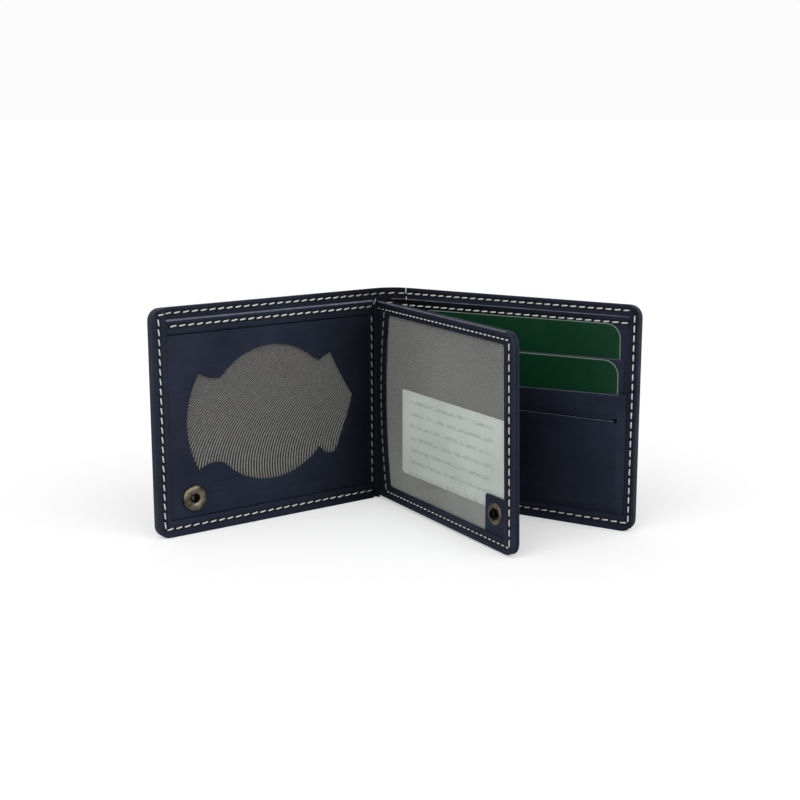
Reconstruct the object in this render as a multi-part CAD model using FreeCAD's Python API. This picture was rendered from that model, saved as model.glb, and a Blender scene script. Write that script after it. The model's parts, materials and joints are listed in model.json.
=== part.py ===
"""Badge wallet: two leather leaves and a windowed flap between them, standing open on its lower edge.

Each page is drawn flat in its own frame: x runs from the fold to the outer edge, y is the thickness
and z is up. The pages are then turned about their fold axes into the open pose.
"""

import FreeCAD
import Part
import math
import os

from FreeCAD import Vector

# Covers, all lengths in millimetres
cover_height = 85.0
cover_leather = 1.4
cover_corner = 4.5
badge_side_hem_width = 5.4
card_side_hem_width = 3.7
bottom_hem_width = 6.3
mouth_hem_width = 6.3
mouth_hem_leather = 0.4
hem_leather = 0.4
hem_wall = 0.8
hem_play = 0.05
bill_room = 0.7
lining_cloth = 0.3
lining_margin = 0.3
badge_leaf_reach = 96.8
spine_reach = 8.0
seam_gap = 0.1

# Folds, with the angles of the open pose in degrees
badge_open_angle = 84.3
card_open_angle = 27.3
flap_turn_angle = 31.2
fold_gap = 1.0
card_fold_setback = 4.0
card_fold_gap = 1.45
card_face_gap = 0.95

# Badge panel and its badge-shaped window
panel_drop = 4.1
panel_leather = 1.1
panel_top_hem_width = 5.6
panel_fold_hem_width = 2.3
backing_cloth = 0.4
badge_outward_shift = 0.9
badge_upward_shift = 2.0
badge_half_width = 36.5
badge_half_height = 25.7
badge_notch_shares = (0.585, 0.66)
badge_dip_shares = (0.70, 0.655)
badge_tip_shares = (0.81, 0.73)

# Ring snap, with its place measured from the corner of the flap's window
snap_edge_margin = 5.3
snap_rise = 6.8
socket_radius = 4.9
socket_thickness = 1.5
socket_bore_radius = 1.85
socket_rounding = 0.6
socket_floor = 0.2
socket_floor_radius = 1.55
spring_wire = 0.34
spring_ring_radius = 1.95
spring_groove_radius = 2.25
spring_groove_width = 0.5
spring_level = 0.9
spring_sweep_angle = 300.0
rim_facets = 2
wire_facets = 5
stud_radius = 4.1
stud_flange = 0.6
stud_rounding = 0.35
stud_neck_radius = 1.3
stud_neck_length = 0.6
stud_head_radius = 1.65
stud_head_length = 1.1
stud_head_bevel = 0.35
stud_bore_radius = 0.95
stud_bore_depth = 0.8
eyelet_flange_radius = 3.6
eyelet_flange = 0.25
eyelet_wall = 0.35
eyelet_lip = 0.15
eyelet_lip_radius = 1.75
eyelet_play = 0.05

# Flap between the leaves
flap_edge_margin = 3.8
flap_top_margin = 1.7
flap_bottom = 1.6
flap_corner = 5.0
flap_layer_inset = 0.4
frame_leather = 0.9
window_sheet = 0.25
slip_room = 0.4
flap_lining_cloth = 0.25
flap_back_leather = 0.8
window_hinge_border = 9.5
window_outer_border = 5.7
window_top_border = 4.5
window_bottom_border = 5.2
window_corner = 1.0
welt_hinge_width = 8.0
welt_outer_width = 4.8
welt_bottom_width = 4.4
tab_lead = 6.3
tab_rise = 6.4
tab_leather = 0.5
tab_corner = 1.2
slip_fold_margin = 7.7
slip_height = 33.3
slip_rise = 7.8
slip_outer_margin = 0.7
slip_paper = 0.2
slip_play = 0.1

# Card leaf, from the front pocket back to the cover
card_fold_room = 16.0
card_width = 85.6
card_height = 54.0
card_corner = 5.5
card_board = 0.4
card_play = 0.05
card_back_play = 0.2
card_drop = 3.7
card_step = 13.4
card_show = 12.6
pocket_leather = 0.7
pocket_rim = 1.4
pocket_side_play = 0.1
pocket_gap = 0.1
slit_drop = 9.0
slit_width = 0.6
slit_end_radius = 0.9
slit_end_margin = 0.5
card_panel_leather = 0.7
card_panel_lead = 2.0
card_backing_cloth = 0.25

# Seams, as short bars of thread on the leather
stitch_pitch = 3.6
stitch_length = 2.6
stitch_width = 0.6
stitch_thickness = 0.15
badge_side_stitch_inset = 2.5
card_side_stitch_inset = 1.9
bottom_stitch_inset = 3.3
mouth_stitch_inset = 2.1
panel_stitch_inset = 2.5
fold_stitch_inset = 1.0
flap_stitch_inset = 2.8
flap_hinge_stitch_inset = 4.6

# Cuts run this far past the faces that they open
overrun = 1.0

UP = Vector(0, 0, 1)
ACROSS = Vector(0, 1, 0)
TO_BADGE_SIDE = -1
TO_FLAP_SIDE = 1

# Heights and lengths shared by neighbouring pieces
panel_height = cover_height - panel_drop
flap_width = badge_leaf_reach - flap_edge_margin
flap_top = panel_height - flap_top_margin
window_end = flap_width - window_outer_border
window_bottom = flap_bottom + window_bottom_border
window_top = flap_top - window_top_border
snap_reach = window_end - snap_edge_margin
snap_height = window_bottom + snap_rise
badge_hem_start = badge_leaf_reach - badge_side_hem_width
pocket_wrap = pocket_side_play + pocket_rim
card_start = card_fold_room
card_end = card_start + card_width
card_hem_start = card_end + pocket_wrap + pocket_wrap + pocket_gap
card_leaf_reach = card_hem_start + card_side_hem_width
upper_card_top = panel_height - card_drop
lower_card_top = upper_card_top - card_step
upper_mouth = upper_card_top - card_show
lower_mouth = lower_card_top - card_show
strip_start = card_start - pocket_wrap
strip_end = card_end + pocket_wrap
lining_top = cover_height - mouth_hem_width - lining_margin
lining_bottom = hem_wall + lining_margin

# Depths of the badge leaf, from its face back to the outside of its cover
badge_face = -fold_gap
badge_field = badge_face - hem_leather
badge_panel_back = badge_field - panel_leather
badge_backing_back = badge_panel_back - backing_cloth
badge_cover_inside = badge_backing_back - bill_room
badge_mouth_face = badge_cover_inside + mouth_hem_leather
badge_cover_outside = badge_cover_inside - cover_leather

# Depths of the flap, from its face back
flap_face = fold_gap
frame_back = flap_face + frame_leather
tab_face = frame_back - tab_leather
window_back = frame_back + window_sheet
slip_room_back = window_back + slip_room
flap_lining_back = slip_room_back + flap_lining_cloth
flap_back = flap_lining_back + flap_back_leather

# Depths of the card leaf, from the face of its front pocket back to the outside of its cover
pocket_front_face = card_face_gap
pocket_front_back = pocket_front_face + pocket_leather
lower_card_face = pocket_front_back + card_play
pocket_strip_face = lower_card_face + card_board + card_play
pocket_strip_back = pocket_strip_face + pocket_leather
upper_card_face = pocket_strip_back + card_play
card_panel_face = upper_card_face + card_board + card_back_play
card_hem_face = card_panel_face - hem_leather
card_panel_back = card_panel_face + card_panel_leather
card_cover_inside = card_panel_back + bill_room
card_mouth_face = card_cover_inside - mouth_hem_leather
card_cover_outside = card_cover_inside + cover_leather


def direction(angle):
    """Level unit vector at an angle in degrees from the x axis."""
    return Vector(math.cos(math.radians(angle)), math.sin(math.radians(angle)), 0)


# Directions of the pages round the fold, and the axis of each fold
flap_angle = flap_turn_angle - 90
badge_angle = flap_angle - badge_open_angle
card_angle = flap_angle + card_open_angle
flap_along = direction(flap_angle)
flap_through = direction(flap_angle + 90)
badge_along = direction(badge_angle)
badge_through = direction(badge_angle + 90)
card_along = direction(card_angle)
card_through = direction(card_angle + 90)
badge_axis = Vector(0, 0, 0)
card_axis = flap_through * (flap_back + card_fold_gap) - flap_along * card_fold_setback

# The outsides of the covers meet in a line that the spine rounds off
badge_outside = badge_through * badge_cover_outside
card_outside = card_axis + card_through * card_cover_outside
corner_reach = (card_outside - badge_outside).dot(card_through) / badge_along.dot(card_through)
spine_corner = badge_outside + badge_along * corner_reach
spine_half_angle = math.radians((badge_open_angle + card_open_angle) / 2)
spine_radius = spine_reach * math.tan(spine_half_angle)
spine_inward = direction((badge_angle + card_angle) / 2)
spine_centre = spine_corner + spine_inward * (spine_reach / math.cos(spine_half_angle))
spine_sweep = 180 - badge_open_angle - card_open_angle
badge_cover_start = corner_reach + spine_reach + seam_gap
card_cover_start = (spine_corner - card_axis).dot(card_along) + spine_reach + seam_gap
card_panel_start = card_cover_start - card_panel_lead


def outline(corners):
    """Closed wire in the xz plane through corners given as x, z and rounding radius."""
    points = [Vector(x, 0, z) for x, z, radius in corners]
    edges = []
    ends = []
    for place, (x, z, radius) in enumerate(corners):
        here = points[place]
        before = (points[place - 1] - here).normalize()
        after = (points[(place + 1) % len(points)] - here).normalize()
        half = before.getAngle(after) / 2
        first = here + before * (radius / math.tan(half))
        last = here + after * (radius / math.tan(half))
        ends.append((first, last))
        if radius:
            middle = here + (before + after).normalize() * (radius / math.sin(half) - radius)
            edges.append(Part.Arc(first, middle, last).toShape())
    for place, (first, last) in enumerate(ends):
        following = ends[(place + 1) % len(ends)][0]
        edges.append(Part.LineSegment(last, following).toShape())
    return Part.Wire(Part.__sortEdges__(edges))


def page(start, end, bottom, top, corner=0):
    """Outline of a sheet from start to end, with its two outer corners rounded."""
    return outline([(start, bottom, 0), (end, bottom, corner), (end, top, corner), (start, top, 0)])


def sheet(wire, front, back):
    """Solid of an outline between two depths."""
    solid = Part.Face(wire).extrude(ACROSS * (back - front))
    solid.translate(ACROSS * front)
    return solid


def drilled(solid, radius):
    """Cut the snap's round hole through a sheet."""
    box = solid.BoundBox
    start = Vector(snap_reach, box.YMin - overrun, snap_height)
    return solid.cut(Part.makeCylinder(radius, box.YLength + overrun + overrun, start, ACROSS))


def turned(profile, depth, facing, sweep=360):
    """Revolve a half profile of radius and rise about the snap's line, rising from depth towards facing."""
    points = [Vector(radius, rise * facing, 0) for radius, rise in profile]
    solid = Part.Face(Part.makePolygon(points + points[:1])).revolve(Vector(0, 0, 0), ACROSS, sweep)
    solid.translate(Vector(snap_reach, depth, snap_height))
    return solid


def rim(radius, rise, rounding):
    """Profile points round the outer rim of a turned piece, from its side to its top."""
    turns = [math.pi / 2 * step / rim_facets for step in range(rim_facets + 1)]
    return [(radius - rounding + rounding * math.cos(turn), rise - rounding + rounding * math.sin(turn))
            for turn in turns]


def bend(centre, inner, outer, bottom, top, start_angle, sweep):
    """Sheet bent round an upright axis."""
    foot = Vector(0, 0, bottom)
    ring = Part.makeCylinder(outer, top - bottom, foot, UP, sweep)
    ring = ring.cut(Part.makeCylinder(inner, top - bottom, foot, UP, sweep))
    ring.rotate(Vector(0, 0, 0), UP, start_angle)
    ring.translate(centre)
    return ring


def seam(start, end, level, front, back, upright=False):
    """Bars of thread from start to end along a page, or up it, at a level across that run."""
    count = int((end - start) / stitch_pitch)
    spare = end - start - count * stitch_pitch + stitch_pitch - stitch_length
    low = level - stitch_width / 2
    high = level + stitch_width / 2
    bars = []
    for number in range(count):
        near = start + spare / 2 + number * stitch_pitch
        far = near + stitch_length
        bar = page(low, high, near, far) if upright else page(near, far, low, high)
        bars.append(sheet(bar, front, back))
    return bars


def cover(start, reach, inside, outside):
    """Outer leather of one leaf."""
    return sheet(page(start, reach, 0, cover_height, cover_corner), inside, outside)


def leaf_page(start, reach, top):
    """Outline of a layer inside a leaf, within the leather that goes round the leaf's edge."""
    inset = hem_wall + hem_play
    return page(start, reach - inset, inset, top, cover_corner - hem_wall)


def cover_hem(start, mouth_start, reach, side, depths):
    """Turned-in edge of a cover: round the panel's outer and lower edges, and flat along the open top."""
    face, field, mouth_face, inside = depths
    whole = page(start, reach, 0, cover_height, cover_corner)
    framed = page(start - overrun, side, bottom_hem_width, cover_height + overrun)
    room = page(start - overrun, reach - hem_wall, hem_wall, panel_height, cover_corner - hem_wall)
    edge = sheet(whole, face, inside).cut(sheet(framed, face, inside)).cut(sheet(room, field, inside))
    mouth = sheet(page(mouth_start, side, cover_height - mouth_hem_width, cover_height), mouth_face, inside)
    return edge.fuse(mouth).removeSplitter()


def cover_lining(start, reach, face, inside):
    """Cloth on the inside of a cover, within its turned-in edge."""
    end = reach - lining_bottom
    wire = outline([(start, lining_bottom, 0), (end, lining_bottom, cover_corner - hem_wall),
                    (end, lining_top, 0), (start, lining_top, 0)])
    return sheet(wire, face, inside)


def badge_window():
    """Barrel-sided badge outline: a crown above and below, and shoulders at each side."""
    middle_reach = (panel_fold_hem_width + badge_hem_start) / 2 + badge_outward_shift
    middle_height = panel_height / 2 + badge_upward_shift

    def at(shares, side, level):
        reach = middle_reach + side * shares[0] * badge_half_width
        return Vector(reach, 0, middle_height + level * shares[1] * badge_half_height)

    runs = []
    for level in (1, -1):
        crown = Vector(middle_reach, 0, middle_height + level * badge_half_height)
        runs.append((at(badge_notch_shares, -1, level), crown, at(badge_notch_shares, 1, level)))
        for side in (1, -1):
            runs.append((at(badge_notch_shares, side, level), at(badge_dip_shares, side, level),
                         at(badge_tip_shares, side, level)))
    for side in (1, -1):
        flank = Vector(middle_reach + side * badge_half_width, 0, middle_height)
        runs.append((at(badge_tip_shares, side, 1), flank, at(badge_tip_shares, side, -1)))
    return Part.Wire(Part.__sortEdges__([Part.Arc(*run).toShape() for run in runs]))


def badge_panel():
    """Leather panel with raised hems at its top and fold, a badge-shaped window and the socket's hole."""
    hemmed = page(seam_gap, badge_hem_start - hem_play, bottom_hem_width + hem_play, panel_height)
    field = page(panel_fold_hem_width, badge_hem_start, bottom_hem_width, panel_height - panel_top_hem_width)
    hem = sheet(hemmed, badge_face, badge_field).cut(sheet(field, badge_face, badge_field))
    solid = sheet(leaf_page(seam_gap, badge_leaf_reach, panel_height), badge_field, badge_panel_back)
    solid = solid.fuse(hem).removeSplitter()
    solid = solid.cut(sheet(badge_window(), badge_face, badge_panel_back))
    return drilled(solid, socket_floor_radius)


def badge_backing():
    """Ribbed cloth behind the panel, seen through the badge window."""
    whole = leaf_page(panel_fold_hem_width, badge_leaf_reach, panel_height - panel_stitch_inset)
    return drilled(sheet(whole, badge_panel_back, badge_backing_back), eyelet_flange_radius + eyelet_play)


def snap_socket():
    """Socket ring on the panel, grooved inside for its spring and open in the middle."""
    groove_low = spring_level - spring_groove_width / 2
    groove_high = spring_level + spring_groove_width / 2
    return turned([
        (socket_floor_radius, 0),
        (socket_radius, 0),
        *rim(socket_radius, socket_thickness, socket_rounding),
        (socket_bore_radius, socket_thickness),
        (socket_bore_radius, groove_high),
        (spring_groove_radius, groove_high),
        (spring_groove_radius, groove_low),
        (socket_bore_radius, groove_low),
        (socket_bore_radius, socket_floor),
        (socket_floor_radius, socket_floor),
    ], badge_field, TO_FLAP_SIDE)


def socket_spring():
    """Split ring of wire in the socket's groove."""
    half = spring_wire / 2
    turns = [2 * math.pi * step / wire_facets for step in range(wire_facets)]
    wire = [(spring_ring_radius + half * math.cos(turn), spring_level + half * math.sin(turn))
            for turn in turns]
    return turned(wire, badge_field, TO_FLAP_SIDE, spring_sweep_angle)


def socket_eyelet():
    """Eyelet from the back of the panel, rolled over inside the socket."""
    outer = socket_floor_radius - eyelet_play
    inner = outer - eyelet_wall
    return turned([
        (inner, -panel_leather - eyelet_flange),
        (eyelet_flange_radius, -panel_leather - eyelet_flange),
        (eyelet_flange_radius, -panel_leather),
        (outer, -panel_leather),
        (outer, socket_floor),
        (eyelet_lip_radius, socket_floor),
        (eyelet_lip_radius, socket_floor + eyelet_lip),
        (inner, socket_floor + eyelet_lip),
    ], badge_field, TO_FLAP_SIDE)


def outside_seams(start, outer, front, back):
    """Seams on the outside of a cover: along its top and bottom, and up its outer edge."""
    high = cover_height - mouth_stitch_inset
    bars = seam(start, outer - stitch_width, high, front, back)
    bars += seam(start, outer - stitch_width, bottom_stitch_inset, front, back)
    bars += seam(bottom_stitch_inset + stitch_width, high - stitch_width, outer, front, back, upright=True)
    return bars


def badge_stitching():
    """Seams of the badge leaf: round the panel, along the cover's open top, and on the outside."""
    start = fold_stitch_inset + stitch_width
    outer = badge_leaf_reach - badge_side_stitch_inset
    low = bottom_stitch_inset
    high = panel_height - panel_stitch_inset
    mouth_high = cover_height - mouth_stitch_inset
    face = (badge_face, badge_face + stitch_thickness)
    mouth = (badge_mouth_face, badge_mouth_face + stitch_thickness)
    bars = seam(start, badge_hem_start, high, *face)
    bars += seam(start, outer - stitch_width, low, *face)
    bars += seam(low + stitch_width, mouth_high, outer, *face, upright=True)
    bars += seam(bottom_hem_width, high - stitch_width, fold_stitch_inset, *face, upright=True)
    bars += seam(badge_cover_start, badge_hem_start, mouth_high, *mouth)
    proud = badge_cover_outside - stitch_thickness
    bars += outside_seams(badge_cover_start, outer, proud, badge_cover_outside)
    return Part.makeCompound(bars)


def flap_page(inset=0):
    """Outline of a layer of the flap."""
    return page(seam_gap, flap_width - inset, flap_bottom + inset, flap_top - inset, flap_corner - inset)


def flap_frame():
    """Leather frame round the flap's window."""
    corners = ((window_hinge_border, window_bottom), (window_end, window_bottom),
               (window_end, window_top), (window_hinge_border, window_top))
    opening = outline([(reach, height, window_corner) for reach, height in corners])
    return sheet(flap_page(), flap_face, frame_back).cut(sheet(opening, flap_face, frame_back))


def flap_window():
    """Clear sheet behind the frame, with a hole round the stud's eyelet."""
    clear_sheet = sheet(flap_page(flap_layer_inset), frame_back, window_back)
    return drilled(clear_sheet, eyelet_flange_radius + eyelet_play)


def flap_tab():
    """Leather tab in the window's lower outer corner, which carries the stud."""
    start = snap_reach - tab_lead
    end = window_end - seam_gap
    low = window_bottom + seam_gap
    high = snap_height + tab_rise
    wire = outline([(start, low, 0), (end, low, window_corner), (end, high, 0), (start, high, tab_corner)])
    return drilled(sheet(wire, tab_face, frame_back), stud_bore_radius)


def snap_stud():
    """Stud with a flat flange, a neck and a bulbed head, hollow from behind for its eyelet."""
    neck_top = stud_flange + stud_neck_length
    head_top = neck_top + stud_head_length
    return turned([
        (stud_bore_radius, 0),
        (stud_radius, 0),
        *rim(stud_radius, stud_flange, stud_rounding),
        (stud_neck_radius, stud_flange),
        (stud_neck_radius, neck_top),
        (stud_head_radius, neck_top + stud_head_bevel),
        (stud_head_radius, head_top - stud_head_bevel),
        (stud_neck_radius, head_top),
        (0, head_top),
        (0, stud_bore_depth),
        (stud_bore_radius, stud_bore_depth),
    ], tab_face, TO_BADGE_SIDE)


def stud_eyelet():
    """Eyelet from the back of the tab into the hollow stud."""
    outer = stud_bore_radius - eyelet_play
    inner = outer - eyelet_wall
    return turned([
        (inner, -tab_leather - eyelet_flange),
        (eyelet_flange_radius, -tab_leather - eyelet_flange),
        (eyelet_flange_radius, -tab_leather),
        (outer, -tab_leather),
        (outer, stud_bore_depth - eyelet_play),
        (inner, stud_bore_depth - eyelet_play),
    ], tab_face, TO_BADGE_SIDE)


def flap_welt():
    """Strip sewn in at three sides of the flap, which leaves room for the slip and is open at the top."""
    room = page(welt_hinge_width, flap_width - welt_outer_width,
                flap_bottom + welt_bottom_width, flap_top + overrun)
    return sheet(flap_page(), window_back, slip_room_back).cut(sheet(room, window_back, slip_room_back))


def id_slip():
    """Paper slip behind the window."""
    start = window_hinge_border + slip_fold_margin
    end = window_end - slip_outer_margin
    low = window_bottom + slip_rise
    front = window_back + slip_play
    return sheet(page(start, end, low, low + slip_height), front, front + slip_paper)


def flap_stitching():
    """Seam round the flap, on its face and on its back."""
    outer = flap_width - flap_stitch_inset
    low = flap_bottom + flap_stitch_inset
    high = flap_top - flap_stitch_inset
    start = flap_hinge_stitch_inset
    bars = []
    for face in ((flap_face - stitch_thickness, flap_face), (flap_back, flap_back + stitch_thickness)):
        bars += seam(start + stitch_width, outer - stitch_width, high, *face)
        bars += seam(start + stitch_width, outer - stitch_width, low, *face)
        bars += seam(low + stitch_width, high - stitch_width, outer, *face, upright=True)
        bars += seam(low + stitch_width, high - stitch_width, start, *face, upright=True)
    return Part.makeCompound(bars)


def card_panel():
    """Leather panel of the card leaf, held at its outer and lower edges by the cover's turned-in edge."""
    whole = leaf_page(card_panel_start, card_leaf_reach, panel_height)
    return sheet(whole, card_panel_face, card_panel_back)


def card_backing():
    """Cloth on the back of the card panel."""
    whole = leaf_page(card_cover_start, card_leaf_reach, panel_height - panel_stitch_inset)
    return sheet(whole, card_panel_back, card_panel_back + card_backing_cloth)


def pocket(start, end, bottom, mouth, floor, depths):
    """Patch pocket: a sheet with a rim at three sides that reaches back to the panel."""
    front, back = depths
    block = sheet(page(start, end, bottom, mouth), front, card_panel_face)
    room = page(start + pocket_rim, end - pocket_rim, floor, mouth + overrun)
    return block.cut(sheet(room, back, card_panel_face))


def pocket_strip():
    """Pocket that holds the upper card."""
    floor = upper_card_top - card_height - pocket_side_play
    depths = (pocket_strip_face, pocket_strip_back)
    return pocket(strip_start, strip_end, floor - pocket_rim, upper_mouth, floor, depths)


def pocket_front():
    """Pocket that holds the lower card, with a slit for a third card, punched round at its ends."""
    floor = lower_card_top - card_height - pocket_side_play
    depths = (pocket_front_face, pocket_front_back)
    solid = pocket(strip_start - pocket_wrap, strip_end + pocket_wrap, bottom_hem_width + pocket_gap,
                   lower_mouth, floor, depths)
    height = lower_mouth - slit_drop
    start = card_start + slit_end_margin
    end = card_end - slit_end_margin
    slit = page(start, end, height - slit_width / 2, height + slit_width / 2)
    solid = solid.cut(sheet(slit, pocket_front_face, pocket_front_back))
    for reach in (start, end):
        foot = Vector(reach, pocket_front_face, height)
        solid = solid.cut(Part.makeCylinder(slit_end_radius, pocket_leather, foot, ACROSS))
    return solid


def card(top, face):
    """Card with rounded corners."""
    bottom = top - card_height
    corners = ((card_start, bottom), (card_end, bottom), (card_end, top), (card_start, top))
    wire = outline([(reach, height, card_corner) for reach, height in corners])
    return sheet(wire, face, face + card_board)


def card_stitching():
    """Seams of the card leaf: round the panel, along the cover's open top, and on the outside."""
    outer = card_leaf_reach - card_side_stitch_inset
    low = bottom_stitch_inset
    high = panel_height - panel_stitch_inset
    mouth_high = cover_height - mouth_stitch_inset
    face = (card_panel_face - stitch_thickness, card_panel_face)
    hem = (card_hem_face - stitch_thickness, card_hem_face)
    mouth = (card_mouth_face - stitch_thickness, card_mouth_face)
    bars = seam(card_panel_start, card_hem_start, high, *face)
    bars += seam(card_cover_start, outer - stitch_width, low, *hem)
    bars += seam(low + stitch_width, mouth_high, outer, *hem, upright=True)
    bars += seam(card_cover_start, card_hem_start, mouth_high, *mouth)
    bars += outside_seams(card_cover_start, outer, card_cover_outside, card_cover_outside + stitch_thickness)
    return Part.makeCompound(bars)


def flap_hinge():
    """Leather that turns from the badge panel into the flap."""
    return bend(badge_axis, fold_gap, fold_gap + frame_leather, flap_bottom, flap_top,
                flap_angle + 90, 180 - badge_open_angle)


def cover_spine():
    """Leather that turns from one cover into the other."""
    return bend(spine_centre, spine_radius - cover_leather, spine_radius, 0, cover_height,
                card_angle + 90, spine_sweep)


def spine_lining():
    """Cloth on the inside of the spine."""
    inside = spine_radius - cover_leather
    return bend(spine_centre, inside - lining_cloth, inside, lining_bottom, lining_top,
                card_angle + 90, spine_sweep)


badge_hem_depths = (badge_face, badge_field, badge_mouth_face, badge_cover_inside)
badge_leaf = {
    "badge_cover": cover(badge_cover_start, badge_leaf_reach, badge_cover_inside, badge_cover_outside),
    "badge_cover_hem": cover_hem(seam_gap, badge_cover_start, badge_leaf_reach, badge_hem_start,
                                 badge_hem_depths),
    "badge_cover_lining": cover_lining(badge_cover_start, badge_leaf_reach,
                                       badge_cover_inside + lining_cloth, badge_cover_inside),
    "badge_panel": badge_panel(),
    "badge_backing": badge_backing(),
    "snap_socket": snap_socket(),
    "socket_spring": socket_spring(),
    "socket_eyelet": socket_eyelet(),
    "badge_stitching": badge_stitching(),
}
id_flap = {
    "flap_frame": flap_frame(),
    "flap_window": flap_window(),
    "flap_tab": flap_tab(),
    "snap_stud": snap_stud(),
    "stud_eyelet": stud_eyelet(),
    "flap_welt": flap_welt(),
    "flap_backing": sheet(flap_page(flap_layer_inset), slip_room_back, flap_lining_back),
    "flap_back": sheet(flap_page(), flap_lining_back, flap_back),
    "flap_stitching": flap_stitching(),
    "id_slip": id_slip(),
}
card_hem_depths = (card_hem_face, card_panel_face, card_mouth_face, card_cover_inside)
card_leaf = {
    "card_cover": cover(card_cover_start, card_leaf_reach, card_cover_inside, card_cover_outside),
    "card_cover_hem": cover_hem(card_cover_start, card_cover_start, card_leaf_reach, card_hem_start,
                                card_hem_depths),
    "card_cover_lining": cover_lining(card_cover_start, card_leaf_reach,
                                      card_cover_inside - lining_cloth, card_cover_inside),
    "card_panel": card_panel(),
    "card_backing": card_backing(),
    "pocket_strip": pocket_strip(),
    "pocket_front": pocket_front(),
    "card_stitching": card_stitching(),
    "upper_card": card(upper_card_top, upper_card_face),
    "lower_card": card(lower_card_top, lower_card_face),
}
fold = {
    "flap_hinge": flap_hinge(),
    "cover_spine": cover_spine(),
    "spine_lining": spine_lining(),
}

# Turn the pages into the open pose round their fold axes
nodes = dict(fold)
for leaf, axis, angle in ((badge_leaf, badge_axis, badge_angle), (id_flap, badge_axis, flap_angle),
                          (card_leaf, card_axis, card_angle)):
    turn = FreeCAD.Placement(axis, FreeCAD.Rotation(UP, angle))
    for name, solid in leaf.items():
        solid.Placement = turn.multiply(solid.Placement)
        nodes[name] = solid

# Stand the wallet with the middle of its footprint on the origin
box = Part.makeCompound(list(nodes.values())).optimalBoundingBox(False)
shift = Vector(-box.Center.x, -box.Center.y, 0)
os.makedirs("parts", exist_ok=True)
for name, solid in nodes.items():
    solid.translate(shift)
    solid.exportStep(f"parts/{name}.step")

print("badge fold axis", badge_axis + shift)
print("card fold axis", card_axis + shift)
print("box", box.XLength, box.YLength, box.ZLength, "spine radius", spine_radius)
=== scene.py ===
import bmesh
import bpy
import json
import math
from mathutils import Matrix, Vector
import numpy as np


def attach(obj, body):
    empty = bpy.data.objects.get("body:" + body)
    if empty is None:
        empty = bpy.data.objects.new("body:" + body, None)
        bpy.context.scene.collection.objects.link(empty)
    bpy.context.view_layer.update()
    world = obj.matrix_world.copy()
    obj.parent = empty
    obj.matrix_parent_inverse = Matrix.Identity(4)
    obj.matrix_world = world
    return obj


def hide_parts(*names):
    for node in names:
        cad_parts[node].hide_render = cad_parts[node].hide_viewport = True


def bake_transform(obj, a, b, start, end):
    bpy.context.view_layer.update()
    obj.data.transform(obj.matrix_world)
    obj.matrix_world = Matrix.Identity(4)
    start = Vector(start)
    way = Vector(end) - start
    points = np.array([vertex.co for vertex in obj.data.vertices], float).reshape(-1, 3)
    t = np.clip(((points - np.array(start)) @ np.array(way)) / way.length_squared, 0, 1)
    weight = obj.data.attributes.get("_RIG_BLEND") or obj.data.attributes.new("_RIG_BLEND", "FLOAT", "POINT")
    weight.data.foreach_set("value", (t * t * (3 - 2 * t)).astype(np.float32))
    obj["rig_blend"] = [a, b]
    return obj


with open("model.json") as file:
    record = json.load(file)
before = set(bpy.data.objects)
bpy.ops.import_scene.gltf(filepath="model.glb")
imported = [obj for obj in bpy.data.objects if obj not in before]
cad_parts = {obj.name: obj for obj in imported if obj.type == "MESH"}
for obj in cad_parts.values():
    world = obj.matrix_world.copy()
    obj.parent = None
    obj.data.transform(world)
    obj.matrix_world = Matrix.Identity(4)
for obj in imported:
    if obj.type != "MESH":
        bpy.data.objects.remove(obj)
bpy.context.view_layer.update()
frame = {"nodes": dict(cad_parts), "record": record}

# Badge cover: the left half of the outer strip of navy cowhide, smooth and lightly waxed. Its edges are skived
# and turned in over the panel at the outer side and the foot, and over themselves along the open top.
# It also takes the near half of the spine, which bends as the leaf folds.
MILLIMETRE = 0.001
X, Y, Z = range(3)
NEAR = 0.005
COVER_HEIGHT = 85.0
COVER_CORNER = 4.5
COVER_RIM = 0.5
CORNER_STEPS = 6
FOOT_STRIP = 6.3
MOUTH_STRIP = 78.7
FOOT_SEAM = 3.3
MOUTH_SEAM = 82.9
SEAM_HALF_WIDTH = 1.1
SEAM_SINK = 0.26
SEAM_LEAD = 1.2
SEAM_INSET = 1.5
SEAM_SHADE_MARK = -0.45
LEVEL_PLAY = SEAM_SINK + 0.02
FLAT_SHARE = 0.7
SHARP_TURN = 0.8
SMOOTH_TURN = math.radians(42)
SPINE_RADIUS = 11.7716
SPINE_HALF_TURN = math.radians(34.2)
SPINE_STEPS = 10
SPINE_SCORES = (1.2, 2.4)
BADGE_TURN = math.radians(-143.1)
BADGE_REACH = 96.8
BADGE_STRIP = 91.4
BADGE_SIDE_SEAM = 94.3
BADGE_COVER_START = -3.5958
BADGE_PANEL_START = 0.1
BADGE_BEND_LEAD = 4.1
BADGE_OUTSIDE = -5.0
BADGE_INSIDE = -3.6
BADGE_MOUTH = -3.2
BADGE_FACE = -1.0
BADGE_LEVELS = (BADGE_OUTSIDE, BADGE_INSIDE, BADGE_MOUTH, BADGE_FACE)

folds = {joint["name"]: Vector(joint["pos_m"]) for joint in frame["record"]["behaviour"]["joints"]
         if joint["type"] == "hinge"}


def page_place(fold, turn, facing):
    """Place of a page drawn flat in millimetres: x runs out from the fold, y up and z out of the page's face."""
    along = (math.cos(turn), math.sin(turn), 0)
    face = (math.sin(turn) * facing, -math.cos(turn) * facing, 0)
    place = Matrix.Identity(4)
    for row in range(3):
        place[row][0] = along[row] * MILLIMETRE
        place[row][1] = (0, 0, 1)[row] * MILLIMETRE
        place[row][2] = face[row] * MILLIMETRE
        place[row][3] = fold[row]
    return place


def start_piece():
    """Empty mesh whose faces can be marked for edge colour: burnish, painted highlight and painted shade."""
    piece = bmesh.new()
    piece.faces.layers.float.new("edge")
    return piece


def lies(part, axis, low=-math.inf, high=math.inf):
    """Whether a whole edge or face lies between two values along x, y or z."""
    return all(low < v.co[axis] < high for v in part.verts)


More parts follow.
